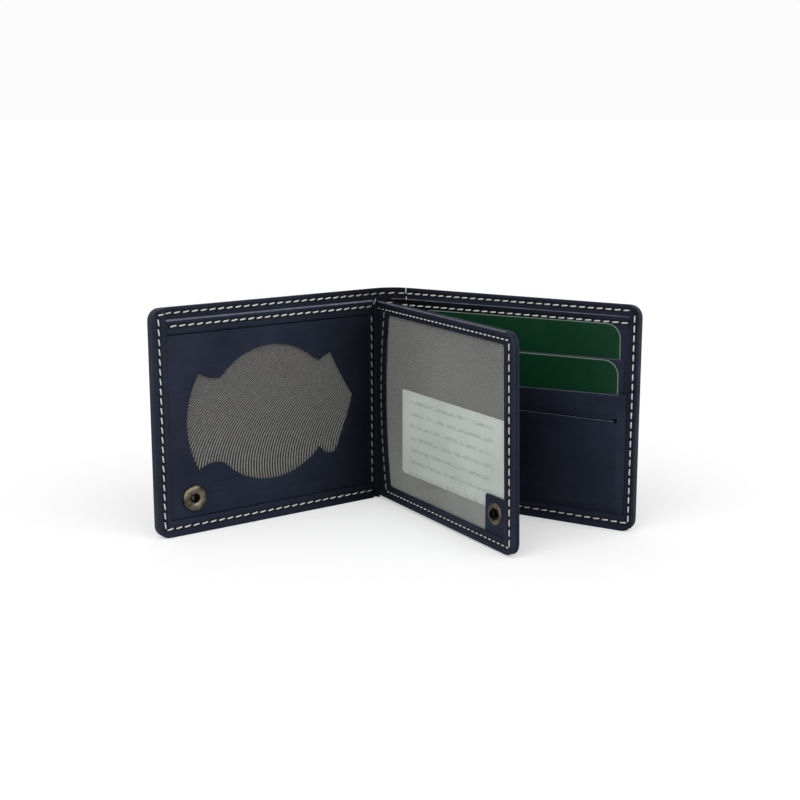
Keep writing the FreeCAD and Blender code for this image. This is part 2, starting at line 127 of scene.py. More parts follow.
def whole(faces):
    """Faces together with their edges and corners, as the operators take them."""
    return faces + list({e for f in faces for e in f.edges}) + list({v for f in faces for v in f.verts})


def round_off(piece, parts, radius, steps, affect="EDGES"):
    """Round edges or corners, and give the faces of the rounding."""
    return bmesh.ops.bevel(piece, geom=parts, offset=radius, offset_type="OFFSET", segments=steps, profile=0.5,
                           affect=affect, clamp_overlap=True, material=-1)["faces"]


def cut_blank(piece, left, right, low, high, outer=0, inner=0):
    """Flat rectangle of hide or cloth, with its outer and its inner corners rounded."""
    made = bmesh.ops.create_grid(piece, x_segments=1, y_segments=1, size=0.5)["verts"]
    middle = Vector(((left + right) / 2, (low + high) / 2, 0))
    bmesh.ops.scale(piece, verts=made, vec=(right - left, high - low, 1))
    bmesh.ops.translate(piece, verts=made, vec=middle)
    for radius, corners in ((outer, [v for v in made if v.co.x > middle.x]),
                            (inner, [v for v in made if v.co.x < middle.x])):
        if radius:
            round_off(piece, corners, radius, CORNER_STEPS, affect="VERTICES")


def draw_out(piece, parts, move):
    """Extrude parts, and move what that makes."""
    grown = bmesh.ops.extrude_face_region(piece, geom=parts)["geom"]
    bmesh.ops.translate(piece, verts=[part for part in grown if isinstance(part, bmesh.types.BMVert)], vec=move)


def thicken(piece, back, front):
    """Give a flat blank its thickness, from the back to the front."""
    bmesh.ops.translate(piece, verts=piece.verts, vec=(0, 0, back))
    draw_out(piece, piece.faces[:], (0, 0, front - back))
    bmesh.ops.recalc_face_normals(piece, faces=piece.faces)


def press(piece, faces, move):
    """Push faces in or out, with walls round them."""
    draw_out(piece, whole(faces), move)


def cut_across(piece, faces, place, across):
    """Cut a line into faces where a plane meets them."""
    bmesh.ops.bisect_plane(piece, geom=whole(faces), dist=0.001, plane_co=place, plane_no=across)


def score(piece, axis, value, faces=None):
    """Cut a straight line across the faces, at a value along x, y or z."""
    across = Vector((0, 0, 0))
    across[axis] = 1
    cut_across(piece, piece.faces[:] if faces is None else faces, across * value, across)


def level_faces(piece, level, facing=1):
    """Faces that lie flat at a level and look out of the page, or into it."""
    piece.normal_update()
    return [f for f in piece.faces if f.normal.z * facing > FLAT_SHARE
            and all(abs(v.co.z - level) < LEVEL_PLAY for v in f.verts)]


def seam_channel(piece, start, end, line, level, upright=False, facing=1):
    """Shallow channel that the pull of the thread leaves along a seam, with its faces darkened as painted shade.
    """
    run, side = (Y, X) if upright else (X, Y)
    for value in (start - SEAM_LEAD, start, end, end + SEAM_LEAD):
        score(piece, run, value, level_faces(piece, level, facing))
    for value in (line - SEAM_HALF_WIDTH, line, line + SEAM_HALF_WIDTH):
        score(piece, side, value, level_faces(piece, level, facing))
    layer = piece.faces.layers.float["edge"]
    for v in piece.verts:
        if abs(v.co.z - level) < NEAR and abs(v.co[side] - line) < NEAR and start - NEAR < v.co[run] < end + NEAR:
            v.co.z -= SEAM_SINK * facing
            for face in v.link_faces:
                face[layer] = SEAM_SHADE_MARK


def round_edges(piece, radius, steps, chosen=lambda edge: True, mark=-0.5):
    """Round off the sharp outward edges, and mark the rounding to be darkened as burnish and painted shade (below
    0), or paled as a painted highlight (above).
    """
    piece.normal_update()
    sharp = [e for e in piece.edges if len(e.link_faces) == 2 and e.calc_face_angle_signed(0) > SHARP_TURN
             and chosen(e)]
    layer = piece.faces.layers.float["edge"]
    for face in round_off(piece, sharp, radius, steps):
        if face.is_valid:
            face[layer] = mark


def keep_shape(piece, name):
    """Turn a drawing into a mesh."""
    mesh = bpy.data.meshes.new(name)
    piece.to_mesh(mesh)
    piece.free()
    return mesh


def finish_piece(piece, name, place, *materials):
    """Stand a flat drawing in its page and make it an object."""
    bmesh.ops.transform(piece, matrix=place, verts=piece.verts)
    if place.determinant() < 0:
        bmesh.ops.reverse_faces(piece, faces=piece.faces)
    mesh = keep_shape(piece, name)
    mesh.shade_smooth()
    mesh.set_sharp_from_angle(angle=SMOOTH_TURN)
    made = bpy.data.objects.new(name, mesh)
    bpy.context.scene.collection.objects.link(made)
    for material in materials:
        mesh.materials.append(material)
    return made


def set_inputs(tree, node, sockets):
    """Set a node's inputs, or link them, by name or number."""
    for name, value in sockets.items():
        if isinstance(value, bpy.types.NodeSocket):
            tree.links.new(value, node.inputs[name])
        else:
            node.inputs[name].default_value = value


def add_node(tree, kind, sockets, **settings):
    """Node with its settings and its inputs."""
    node = tree.nodes.new(kind)
    for name, value in settings.items():
        setattr(node, name, value)
    set_inputs(tree, node, sockets)
    return node


def object_place(tree):
    """Place on the piece."""
    return add_node(tree, "ShaderNodeTexCoord", {}).outputs["Object"]


def reckon(tree, operation, *values):
    """Sum, product or wave of values."""
    return add_node(tree, "ShaderNodeMath", dict(enumerate(values)), operation=operation).outputs[0]


def reckon_place(tree, operation, *places):
    """Sum, product or length of places."""
    return add_node(tree, "ShaderNodeVectorMath", dict(enumerate(places)), operation=operation).outputs


def spread(tree, value, span=(0.0, 1.0), to=(0.0, 1.0)):
    """Value moved from one span to another and held there."""
    return add_node(tree, "ShaderNodeMapRange", {"Value": value, "From Min": span[0], "From Max": span[1],
                                                 "To Min": to[0], "To Max": to[1]}).outputs[0]


def cloud(tree, place, scale, detail):
    """Soft uneven patches."""
    return add_node(tree, "ShaderNodeTexNoise", {"Vector": place, "Scale": scale, "Detail": detail}).outputs[0]


def mix_tones(tree, share, first, second, way="MIX"):
    """Colour between two tones, or one tone times the other."""
    return add_node(tree, "ShaderNodeMix", {"Factor": share, 6: first, 7: second}, data_type="RGBA",
                    blend_type=way).outputs[2]


def relief(tree, height, strength, depth):
    """Fine relief that the light shows."""
    return add_node(tree, "ShaderNodeBump", {"Height": height, "Strength": strength, "Distance": depth}).outputs[0]


def place_group(tree, group, **sockets):
    """Shared effect placed in a material with its own values."""
    return add_node(tree, "ShaderNodeGroup", {name.replace("_", " "): value for name, value in sockets.items()},
                    node_tree=group).outputs


def start_group(name, inputs, outputs):
    """Shared effect with named sockets, and the two ends of its tree."""
    group = bpy.data.node_groups.new(name, "ShaderNodeTree")
    for label, kind in inputs.items():
        group.interface.new_socket(label, in_out="INPUT", socket_type="NodeSocket" + kind)
    for label in outputs:
        group.interface.new_socket(label, in_out="OUTPUT", socket_type="NodeSocketFloat")
    return group, group.nodes.new("NodeGroupInput").outputs, group.nodes.new("NodeGroupOutput")


def start_material(name):
    """Material with an empty surface shader."""
    material = bpy.data.materials.new(name)
    material.use_nodes = True
    tree = material.node_tree
    tree.nodes.clear()
    shader = tree.nodes.new("ShaderNodeBsdfPrincipled")
    tree.links.new(shader.outputs[0], tree.nodes.new("ShaderNodeOutputMaterial").inputs[0])
    return material, tree, shader


# grain: fine pebbles and pores, with level streaks where the hide was glazed
grain, grain_in, grain_end = start_group("hide_grain", {"Pebble Scale": "Float"}, ("Tone", "Height"))
where = object_place(grain)
pebbles = add_node(grain, "ShaderNodeTexVoronoi", {"Vector": where, "Scale": grain_in["Pebble Scale"],
                                                   "Randomness": 0.9}).outputs["Distance"]
pores = cloud(grain, where, scale=2600.0, detail=3.0)
patches = cloud(grain, where, scale=55.0, detail=4.0)
drawn_out = reckon_place(grain, "MULTIPLY", where, (45.0, 45.0, 620.0))["Vector"]
streaks = cloud(grain, drawn_out, scale=1.0, detail=3.0)
mottle = reckon(grain, "MULTIPLY_ADD", streaks, 0.25, reckon(grain, "MULTIPLY", patches, 0.75))
set_inputs(grain, grain_end, {"Tone": spread(grain, mottle, span=(0.3, 0.7)),
                              "Height": reckon(grain, "MULTIPLY_ADD", pores, 0.5, pebbles)})

# edge marks: marks above 0 pale an edge unevenly, as a painted highlight with some rubbing; marks below 0 darken
# it, as burnish and painted shade
edge_wear_and_light, edge_wear_and_light_in, edge_wear_and_light_end = start_group("edge_wear_and_painted_light", {"Uneven Scale": "Float"}, ("Rub And Highlight", "Burnish And Shade"))
marked = add_node(edge_wear_and_light, "ShaderNodeAttribute", {}, attribute_name="edge").outputs["Fac"]
uneven = spread(edge_wear_and_light, cloud(edge_wear_and_light, object_place(edge_wear_and_light), scale=edge_wear_and_light_in["Uneven Scale"], detail=3.0),
                span=(0.35, 0.7), to=(0.55, 1.0))
set_inputs(edge_wear_and_light, edge_wear_and_light_end, {"Rub And Highlight": reckon(edge_wear_and_light, "MULTIPLY", spread(edge_wear_and_light, marked), uneven),
                            "Burnish And Shade": spread(edge_wear_and_light, marked, span=(0.0, -1.0))})

# fold shade: painted shade that darkens the colour towards the fold, where the leaves and the flap shade each
# other; the hide materials also make the hide rougher there
fold_shade, fold_in, fold_end = start_group(
    "fold_shade", {"Fold": "Vector", "Dark At": "Float", "Plain From": "Float"}, ("Plain",))
from_fold = reckon_place(fold_shade, "SUBTRACT", object_place(fold_shade), fold_in["Fold"])["Vector"]
level_only = reckon_place(fold_shade, "MULTIPLY", from_fold, (1.0, 1.0, 0.0))["Vector"]
away = reckon_place(fold_shade, "LENGTH", level_only)["Value"]
set_inputs(fold_shade, fold_end, {
    "Plain": spread(fold_shade, away, span=(fold_in["Dark At"], fold_in["Plain From"]), to=(0.03, 1.0))})

HIDE_DEEP = (0.0104, 0.0142, 0.0272, 1)
HIDE_LIGHT = (0.0206, 0.0268, 0.0492, 1)
# pale tone for painted highlights on marked edges, and dark tone for burnish and painted shade
HIDE_RUB_AND_HIGHLIGHT = (0.165, 0.178, 0.220, 1)
HIDE_BURNISH_AND_SHADE = (0.0030, 0.0034, 0.0055, 1)
HIDE_ROUGHNESS = (0.60, 0.46)
FOLD_ROUGHNESS = (0.35, 0.0)


def hide_material(name, fold, dark_at, plain_from):
    """Dyed cowhide: two close tones over the grain, marked edges paled as painted highlight and darkened as
    burnish and painted shade, and painted shade towards the fold.
    """
    material, tree, shader = start_material(name)
    grained = place_group(tree, grain, Pebble_Scale=1900.0)
    worn = place_group(tree, edge_wear_and_light, Uneven_Scale=260.0)
    shaded = place_group(tree, fold_shade, Fold=fold, Dark_At=dark_at, Plain_From=plain_from)["Plain"]
    dyed = mix_tones(tree, grained["Tone"], HIDE_DEEP, HIDE_LIGHT)
    dimmed = mix_tones(tree, 1.0, dyed, shaded, way="MULTIPLY")
    burnish_and_shade_tone = mix_tones(tree, worn["Burnish And Shade"], dimmed, HIDE_BURNISH_AND_SHADE)
    set_inputs(tree, shader, {
        "Base Color": mix_tones(tree, worn["Rub And Highlight"], burnish_and_shade_tone, HIDE_RUB_AND_HIGHLIGHT),
        "Roughness": reckon(tree, "ADD", spread(tree, grained["Tone"], to=HIDE_ROUGHNESS),
                            spread(tree, shaded, to=FOLD_ROUGHNESS)),
        "Normal": relief(tree, grained["Height"], strength=0.35, depth=0.00012),
        "Specular IOR Level": 0.12})
    return material


# painted shade darkens this hide towards the badge leaf's fold
navy_hide = hide_material("navy_hide", folds["badge_leaf_fold"], dark_at=-0.008, plain_from=0.038)

CREASE_HALF_WIDTH = 0.35
CREASE_DEPTH = 0.22
CREASE_REACH = 3.2
CREASE_ROOM = 4.5
STEP_ROUNDING = 0.22
RIM_ROUNDING = 0.6
RIM_WALL_SHADE_MARK = -0.3


def crease(piece, spot, across, level):
    """Mitre line pressed into the corner where two turned-in edges meet."""
    across = Vector(across).normalized()
    spot = Vector((*spot, 0))
    for offset in (-CREASE_HALF_WIDTH, 0, CREASE_HALF_WIDTH):
        faces = [f for f in level_faces(piece, level)
                 if (f.calc_center_median().xy - spot.xy).length < CREASE_ROOM]
        cut_across(piece, faces, spot + across * offset, across)
    for v in piece.verts:
        apart = (v.co - spot).xy
        if abs(v.co.z - level) < LEVEL_PLAY and abs(apart.dot(across.xy)) < NEAR and apart.length < CREASE_REACH:
            v.co.z = min(v.co.z, level - CREASE_DEPTH)


def on_rim(edge, strip):
    """Whether an edge is part of the cover's outer rim."""
    return all(v.co.x > strip + COVER_RIM or v.co.y < COVER_RIM or v.co.y > COVER_HEIGHT - COVER_RIM
               for v in edge.verts)


def off_spine(edge, start):
    """Whether an edge is clear of the inner end, where a leaf goes on into the spine."""
    return edge.verts[0].co.x + edge.verts[1].co.x > 2 * (start + NEAR)


def inner_end(piece, start):
    """End wall of a piece at its inner end."""
    return whole([f for f in piece.faces if lies(f, X, start - NEAR, start + NEAR)])


def bend_round_spine(piece, end, start, outside):
    """Carry the inner end of a leaf on round its half of the spine."""
    bmesh.ops.spin(piece, geom=end, cent=(start, 0, outside + SPINE_RADIUS), axis=(0, 1, 0),
                   angle=SPINE_HALF_TURN, steps=SPINE_STEPS, use_duplicate=False)
    bmesh.ops.recalc_face_normals(piece, faces=piece.faces)


def wrap_cover(start, panel_start, strip, reach, side_seam, levels):
    """Cover with its turned-in edges, and half of the spine bent on at its inner end."""
    outside, inside, mouth, front = levels
    piece = start_piece()
    cut_blank(piece, start, reach, 0, COVER_HEIGHT, outer=COVER_CORNER)
    thicken(piece, outside, inside)
    score(piece, X, strip)
    if panel_start > start:
        for line in (panel_start, *(start + step for step in SPINE_SCORES)):
            score(piece, X, line)
    score(piece, Y, FOOT_STRIP)
    score(piece, Y, MOUTH_STRIP)
    middles = {f: f.calc_center_median() for f in level_faces(piece, inside)}
    press(piece, [f for f, spot in middles.items() if spot.x > strip or spot.y > MOUTH_STRIP
                  or (spot.y < FOOT_STRIP and spot.x > panel_start)], (0, 0, mouth - inside))
    middles = {f: f.calc_center_median() for f in level_faces(piece, mouth)}
    press(piece, [f for f, spot in middles.items() if spot.x > strip or spot.y < FOOT_STRIP],
          (0, 0, front - mouth))
    piece.normal_update()
    # lines that the pressed layers leave in the walls
    wall_lines = [e for e in piece.edges if len(e.link_faces) == 2 and e.calc_face_angle(1) < 0.01
                  and abs(e.verts[0].co.z - e.verts[1].co.z) < 0.001 and abs(e.link_faces[0].normal.z) < 0.1]
    bmesh.ops.dissolve_edges(piece, edges=wall_lines, use_verts=True, use_face_split=False)
    seam_channel(piece, panel_start + SEAM_INSET, side_seam, FOOT_SEAM, front)
    seam_channel(piece, FOOT_SEAM, MOUTH_SEAM, side_seam, front, upright=True)
    seam_channel(piece, start, strip - SEAM_INSET, MOUTH_SEAM, mouth)
    for line in (FOOT_SEAM, MOUTH_SEAM):
        seam_channel(piece, start, side_seam, line, outside, facing=-1)
    seam_channel(piece, FOOT_SEAM, MOUTH_SEAM, side_seam, outside, upright=True, facing=-1)
    for line, way in ((FOOT_SEAM, 1), (MOUTH_SEAM, -1)):
        crease(piece, (side_seam, line), (1, way, 0), front)
    round_edges(piece, STEP_ROUNDING, 2, lambda e: not on_rim(e, strip) and off_spine(e, start), mark=-0.2)
    # the cover's outer side walls are darkened, partly as edge paint and partly as painted shade against the key
    # light
    layer = piece.faces.layers.float["edge"]
    for face in piece.faces:
        if abs(face.normal.z) < 0.3 and all(on_rim(edge, strip) for edge in face.edges):
            face[layer] = RIM_WALL_SHADE_MARK
    round_edges(piece, RIM_ROUNDING, 3, lambda e: on_rim(e, strip), mark=-0.8)
    bend_round_spine(piece, inner_end(piece, start), start, outside)
    return piece


def spine_ends(place, start, outside, lead=0.0):
    """Where the bend of the spine starts, led into the leaf, and where its two halves meet, in the wallet."""
    centre = Vector((start, COVER_HEIGHT / 2, outside + SPINE_RADIUS))
    first = Vector((0, 0, -SPINE_RADIUS))
    last = Matrix.Rotation(SPINE_HALF_TURN, 3, "Y") @ first
    return place @ (centre + first + Vector((lead, 0, 0))), place @ (centre + last)


badge_page = page_place(folds["badge_leaf_fold"], BADGE_TURN, -1)
badge_spine = spine_ends(badge_page, BADGE_COVER_START, BADGE_OUTSIDE, lead=BADGE_BEND_LEAD)
badge_cover = finish_piece(
    wrap_cover(BADGE_COVER_START, BADGE_PANEL_START, BADGE_STRIP, BADGE_REACH, BADGE_SIDE_SEAM, BADGE_LEVELS),
    "badge_cover_leather", badge_page, navy_hide)
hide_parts("badge_cover", "badge_cover_hem", "cover_spine")
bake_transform(badge_cover, "badge_leaf", "id_flap", *badge_spine)

# Badge cover lining: thin plain-woven black cloth glued inside the cover, below the turned-in open edge.
# It goes on round its half of the spine.
LINING_FOOT = 1.1
LINING_TOP = 78.4
LINING_STAND = 1.7


def line_cover(start, reach, outside):
    """Cloth inside a cover and round half of the spine."""
    piece = start_piece()
    cut_blank(piece, start, reach - LINING_FOOT, LINING_FOOT, LINING_TOP)
    bmesh.ops.translate(piece, verts=piece.verts, vec=(0, 0, outside + LINING_STAND))
    end = [e for e in piece.edges if lies(e, X, start - NEAR, start + NEAR)]
    bend_round_spine(piece, end + [v for e in end for v in e.verts], start, outside)
    return piece


def split_place(tree, place):
    """The three parts of a place."""
    return add_node(tree, "ShaderNodeSeparateXYZ", {0: place}).outputs


# weave: threads that cross, over and under
weave, weave_in, weave_end = start_group("plain_weave", {"Threads per Metre": "Float"}, ("Thread",))
counted = add_node(weave, "ShaderNodeVectorMath", {0: object_place(weave), "Scale": weave_in["Threads per Metre"]},
                   operation="SCALE").outputs["Vector"]
apart = split_place(weave, counted)
weft = reckon(weave, "SINE", reckon(weave, "ADD", apart[X], apart[Y]))
warp = reckon(weave, "SINE", apart[Z])
set_inputs(weave, weave_end, {
    "Thread": spread(weave, reckon(weave, "MULTIPLY", weft, warp), span=(-1.0, 1.0))})


def lining_material(name, deep, light):
    """Plain-woven lining cloth."""
    material, tree, shader = start_material(name)
    woven = place_group(tree, weave, Threads_per_Metre=9000.0)["Thread"]
    set_inputs(tree, shader, {"Base Color": mix_tones(tree, woven, deep, light),
                              "Normal": relief(tree, woven, strength=0.4, depth=0.0001),
                              "Roughness": 0.85, "Specular IOR Level": 0.2})
    return material


black_lining = lining_material("black_lining", deep=(0.006, 0.007, 0.010, 1), light=(0.018, 0.020, 0.028, 1))
badge_lining = finish_piece(line_cover(BADGE_COVER_START, BADGE_REACH, BADGE_OUTSIDE), "badge_cover_cloth",
                            badge_page, black_lining)
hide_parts("badge_cover_lining", "spine_lining")
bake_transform(badge_lining, "badge_leaf", "id_flap", *badge_spine)

# Badge panel: one piece of the same hide, folded over at the top and at the fold into raised stitched bands.
# A badge-shaped opening is die-cut through it, with its cut edge rolled, and the socket's post goes through it.
PANEL_TOP = 80.9
PANEL_BAND = 75.3
PANEL_FOLD_BAND = 2.3
PANEL_TOP_SEAM = 78.4
PANEL_FOLD_SEAM = 1.0
FIELD_LEFT = PANEL_FOLD_BAND + 0.1
FIELD_RIGHT = BADGE_STRIP - 0.15
FIELD_LOW = FOOT_STRIP + 0.2
FIELD_HIGH = PANEL_BAND - 0.3
FIELD_ROUNDING = 0.3
BAND_ROUNDING = 0.25
BAND_TOP_ROUNDING = 0.6
SIDE_BAND_ROUNDING = 0.35
PANEL_BACK = -2.5
BADGE_FIELD = -1.4
SNAP_REACH = 82.0
SNAP_HEIGHT = 13.6
SNAP_BORE = 1.55
BADGE_HALF_WIDTH = 36.5
BADGE_HALF_HEIGHT = 25.7
BADGE_MIDDLE = (47.75, 42.45)
CROWN_SHARES = {1: (0, 1), -1: (0, 1.057)}
CORNER_SHARES = {  # notch, dip and tip at each side (outer 1, fold -1) and level (upper 1, lower -1)
    (1, 1): ((0.593, 0.60), (0.72, 0.617), (0.84, 0.71)),
    (-1, 1): ((0.563, 0.705), (0.66, 0.725), (0.76, 0.80)),
    (1, -1): ((0.575, 0.69), (0.70, 0.675), (0.86, 0.765)),
    (-1, -1): ((0.607, 0.702), (0.69, 0.80), (0.815, 0.81)),
}
OUTER_FLANK_SHARES = (1, 0)
FOLD_POINT_SHARES = (1.05, 0.06)
FOLD_FLANK_SHARES = {1: (0.905, 0.40), -1: (0.945, 0.40)}
FOLD_TIP_ROUNDING = 1.5
CROWN_STEPS = 24
CORNER_ARC_STEPS = 7
FLANK_STEPS = 10
ROLL_STEPS = (0.14, 0.16)
ROLL_DROPS = (0.04, 0.22)


def arc_through(piece, first, middle, last, steps):
    """Chain of edges along the arc through three points."""
    (ax, ay), (bx, by), (cx, cy) = first, middle, last
    twice = 2 * (ax * (by - cy) + bx * (cy - ay) + cx * (ay - by))
    a, b, c = ax * ax + ay * ay, bx * bx + by * by, cx * cx + cy * cy
    ux = (a * (by - cy) + b * (cy - ay) + c * (ay - by)) / twice
    uy = (a * (cx - bx) + b * (ax - cx) + c * (bx - ax)) / twice
    start, via, end = (math.atan2(y - uy, x - ux) for x, y in (first, middle, last))
    sweep = (end - start) % (2 * math.pi)
    if (via - start) % (2 * math.pi) > sweep:
        sweep -= 2 * math.pi
    point = piece.verts.new((ax, ay, 0))
    bmesh.ops.spin(piece, geom=[point], cent=(ux, uy, 0), axis=(0, 0, 1), angle=sweep, steps=steps,
                   use_duplicate=False)


def badge_point(shares, side, level):
    """Point of the badge outline from its shares of the half width and half height."""
    return (BADGE_MIDDLE[0] + side * shares[0] * BADGE_HALF_WIDTH,
            BADGE_MIDDLE[1] + level * shares[1] * BADGE_HALF_HEIGHT)


def draw_badge(piece):
    """Face in the badge's outline: a crown above and below, four corners, a round flank and a pointed one."""
    corners = {spot: [badge_point(shares, *spot) for shares in row] for spot, row in CORNER_SHARES.items()}
    point = badge_point(FOLD_POINT_SHARES, -1, 1)
    for level in (1, -1):
        outer, fold = corners[1, level], corners[-1, level]
        for corner in (outer, fold):
            arc_through(piece, *corner, CORNER_ARC_STEPS)
        arc_through(piece, fold[0], badge_point(CROWN_SHARES[level], 1, level), outer[0], CROWN_STEPS)
        arc_through(piece, fold[2], badge_point(FOLD_FLANK_SHARES[level], -1, level), point, FLANK_STEPS)
    arc_through(piece, corners[1, 1][2], badge_point(OUTER_FLANK_SHARES, 1, 1), corners[1, -1][2], 2 * FLANK_STEPS)
    bmesh.ops.remove_doubles(piece, verts=piece.verts, dist=0.01)
    bmesh.ops.contextual_create(piece, geom=piece.edges[:])
    tips = [v for v in piece.verts for level in (1, -1) if (v.co.xy - Vector(corners[-1, level][2])).length < 0.02]
    round_off(piece, tips, FOLD_TIP_ROUNDING, 4, affect="VERTICES")


def join_pieces(piece, *others):
    """Put parts that were worked apart into one piece."""
    for other in others:
        joined = keep_shape(other, "joined_part")
        piece.from_mesh(joined)
        bpy.data.meshes.remove(joined)


def cut_badge_panel():
    """Field with the badge opening, and the two raised bands."""
    piece = start_piece()
    draw_badge(piece)
    opening = piece.faces[:]
    outline = piece.edges[:]
    rolled = []
    for step in ROLL_STEPS:
        bmesh.ops.inset_region(piece, faces=opening, thickness=step, use_boundary=True, use_even_offset=True)
        rolled.append([v.co.xy.copy() for v in opening[0].verts])
    bmesh.ops.delete(piece, geom=opening, context="FACES_ONLY")
    loose = [e for e in piece.edges if not e.link_faces and e not in outline]
    bmesh.ops.delete(piece, geom=loose, context="EDGES")
    field = ((FIELD_LEFT, FIELD_LOW), (FIELD_RIGHT, FIELD_LOW), (FIELD_RIGHT, FIELD_HIGH),
             (FIELD_LEFT, FIELD_HIGH))
    corners = [piece.verts.new((*spot, 0)) for spot in field]
    sides = [piece.edges.new((corners[n], corners[(n + 1) % 4])) for n in range(4)]
    bore = bmesh.ops.create_circle(piece, segments=24, radius=SNAP_BORE,
                                   matrix=Matrix.Translation((SNAP_REACH, SNAP_HEIGHT, 0)))["verts"]
    sides += list({e for v in bore for e in v.link_edges})
    bmesh.ops.triangle_fill(piece, use_beauty=True, edges=outline + sides, normal=(0, 0, 1))
    thicken(piece, PANEL_BACK, BADGE_FIELD)
    field_sides = ((X, FIELD_LEFT), (X, FIELD_RIGHT), (Y, FIELD_LOW), (Y, FIELD_HIGH))
    # the field's rounded edges get a faint painted highlight
    round_edges(piece, FIELD_ROUNDING, 3, lambda e: lies(e, Z, BADGE_FIELD - 0.01) and any(
        lies(e, axis, value - 0.01, value + 0.01) for axis, value in field_sides), mark=0.06)
    for loop, drop in zip(rolled, ROLL_DROPS):
        for v in piece.verts:
            if abs(v.co.z - BADGE_FIELD) < NEAR and any((v.co.xy - spot).length < 0.002 for spot in loop):
                v.co.z -= drop
    top_band = start_piece()
    cut_blank(top_band, BADGE_PANEL_START, BADGE_STRIP + 0.2, PANEL_BAND, PANEL_TOP)
    thicken(top_band, PANEL_BACK, BADGE_FACE)
    seam_channel(top_band, PANEL_FOLD_SEAM, BADGE_STRIP - 1, PANEL_TOP_SEAM, BADGE_FACE)
    round_edges(top_band, BAND_ROUNDING, 3, lambda e: lies(e, Y, high=PANEL_TOP - 0.1))
    # the band's rounded top edge gets a painted highlight
    round_edges(top_band, BAND_TOP_ROUNDING, 3, lambda e: lies(e, Y, low=PANEL_TOP - 0.1), mark=1.0)
    side_band = start_piece()
    cut_blank(side_band, BADGE_PANEL_START, PANEL_FOLD_BAND, FOOT_STRIP, PANEL_BAND + 0.5)
    thicken(side_band, PANEL_BACK, BADGE_FACE)
    round_edges(side_band, SIDE_BAND_ROUNDING, 3)
    join_pieces(piece, top_band, side_band)
    return piece


badge_panel = finish_piece(cut_badge_panel(), "badge_panel_leather", badge_page, navy_hide)
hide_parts("badge_panel")
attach(badge_panel, "badge_leaf")

# Badge backing: grey ribbed cloth glued behind the opening, so that its ribs show through it.
# The ribs are a steep twill with a watered finish, which bends their lines.
BACKING_FRONT = -2.62
BACKING_LEFT = 4.0
BACKING_RIGHT = 90.0
BACKING_LOW = 9.0
BACKING_HIGH = 74.0

# ribs: lines across the page that lean, bow and bend, worn flat in patches
ribs, ribs_in, ribs_end = start_group(
    "watered_ribs", {"Page": "Vector", "Lean": "Vector", "Bow": "Float", "Bow Height": "Float", "Bend": "Float"},
    ("Rib", "Water"))
leaning = reckon_place(ribs, "DOT_PRODUCT", ribs_in["Page"], ribs_in["Lean"])["Value"]
risen = reckon(ribs, "SUBTRACT", split_place(ribs, ribs_in["Page"])[Z], ribs_in["Bow Height"])
bowed = reckon(ribs, "MULTIPLY_ADD", reckon(ribs, "MULTIPLY", risen, risen), ribs_in["Bow"], leaning)
bending = cloud(ribs, ribs_in["Page"], scale=30.0, detail=1.0)
ridge = reckon(ribs, "SINE", reckon(ribs, "MULTIPLY_ADD", bending, ribs_in["Bend"], bowed))
worn_flat = cloud(ribs, ribs_in["Page"], scale=70.0, detail=2.0)
standing = reckon(ribs, "MULTIPLY", ridge, spread(ribs, worn_flat, span=(0.35, 0.62), to=(0.6, 1.0)))
ragged = cloud(ribs, ribs_in["Page"], scale=1300.0, detail=2.0)
set_inputs(ribs, ribs_end, {
    "Rib": spread(ribs, reckon(ribs, "MULTIPLY_ADD", ragged, 0.9, standing), span=(-0.15, 1.1)),
    "Water": worn_flat})


def page_coordinates(tree, fold, turn):
    """Place on a page, in metres out from its fold and up."""
    return add_node(tree, "ShaderNodeMapping", {
        "Vector": object_place(tree), "Location": Matrix.Rotation(-turn, 3, "Z") @ -fold,
        "Rotation": (0, 0, -turn)}).outputs[0]


def ribbed_material(name, turn, deep, light, **lines):
    """Ribbed grey cloth whose ribs follow the page that it is glued to."""
    material, tree, shader = start_material(name)
    page = page_coordinates(tree, folds["badge_leaf_fold"], turn)
    ribbed = place_group(tree, ribs, Page=page, **lines)
    set_inputs(tree, shader, {"Base Color": mix_tones(tree, ribbed["Rib"], deep, light),
                              "Normal": relief(tree, ribbed["Rib"], strength=0.4, depth=0.0002),
                              "Roughness": spread(tree, ribbed["Water"], to=(0.6, 0.85)),
                              "Specular IOR Level": 0.25})
    return material


def lay_sheet(left, right, low, high, level, columns, rows, swell, across, up):
    """Soft sheet laid on a page, not quite flat."""
    piece = start_piece()
    bmesh.ops.create_grid(piece, x_segments=columns, y_segments=rows, size=0.5)
    bmesh.ops.scale(piece, verts=piece.verts, vec=(right - left, high - low, 1))
    bmesh.ops.translate(piece, verts=piece.verts, vec=((left + right) / 2, (low + high) / 2, level))
    for v in piece.verts:
        v.co.z += swell * math.sin(v.co.x * across[0] + across[1]) * math.sin(v.co.y * up[0] + up[1])
    return piece


grey_ribs = ribbed_material(
    "grey_ribbed_cloth", BADGE_TURN, deep=(0.006, 0.006, 0.006, 1), light=(0.262, 0.258, 0.246, 1),
    Lean=(5200.0, 0.0, 0.0), Bow=106600.0, Bow_Height=0.020, Bend=9.0)
badge_backing = finish_piece(
    lay_sheet(BACKING_LEFT, BACKING_RIGHT, BACKING_LOW, BACKING_HIGH, BACKING_FRONT, columns=36, rows=30,
              swell=0.06, across=(0.21, 1.3), up=(0.17, 0.4)),
    "badge_backing_cloth", badge_page, grey_ribs)
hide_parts("badge_backing")
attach(badge_backing, "badge_leaf")

# Snap socket: a turned ring of antiqued brass on the badge panel, with a split steel spring in its groove.
# An eyelet from behind the panel is rolled over inside it.
SOCKET_DARK_RADIUS = 2.28
SOCKET_DARK_RISE = 1.22
RING_STEPS = 56


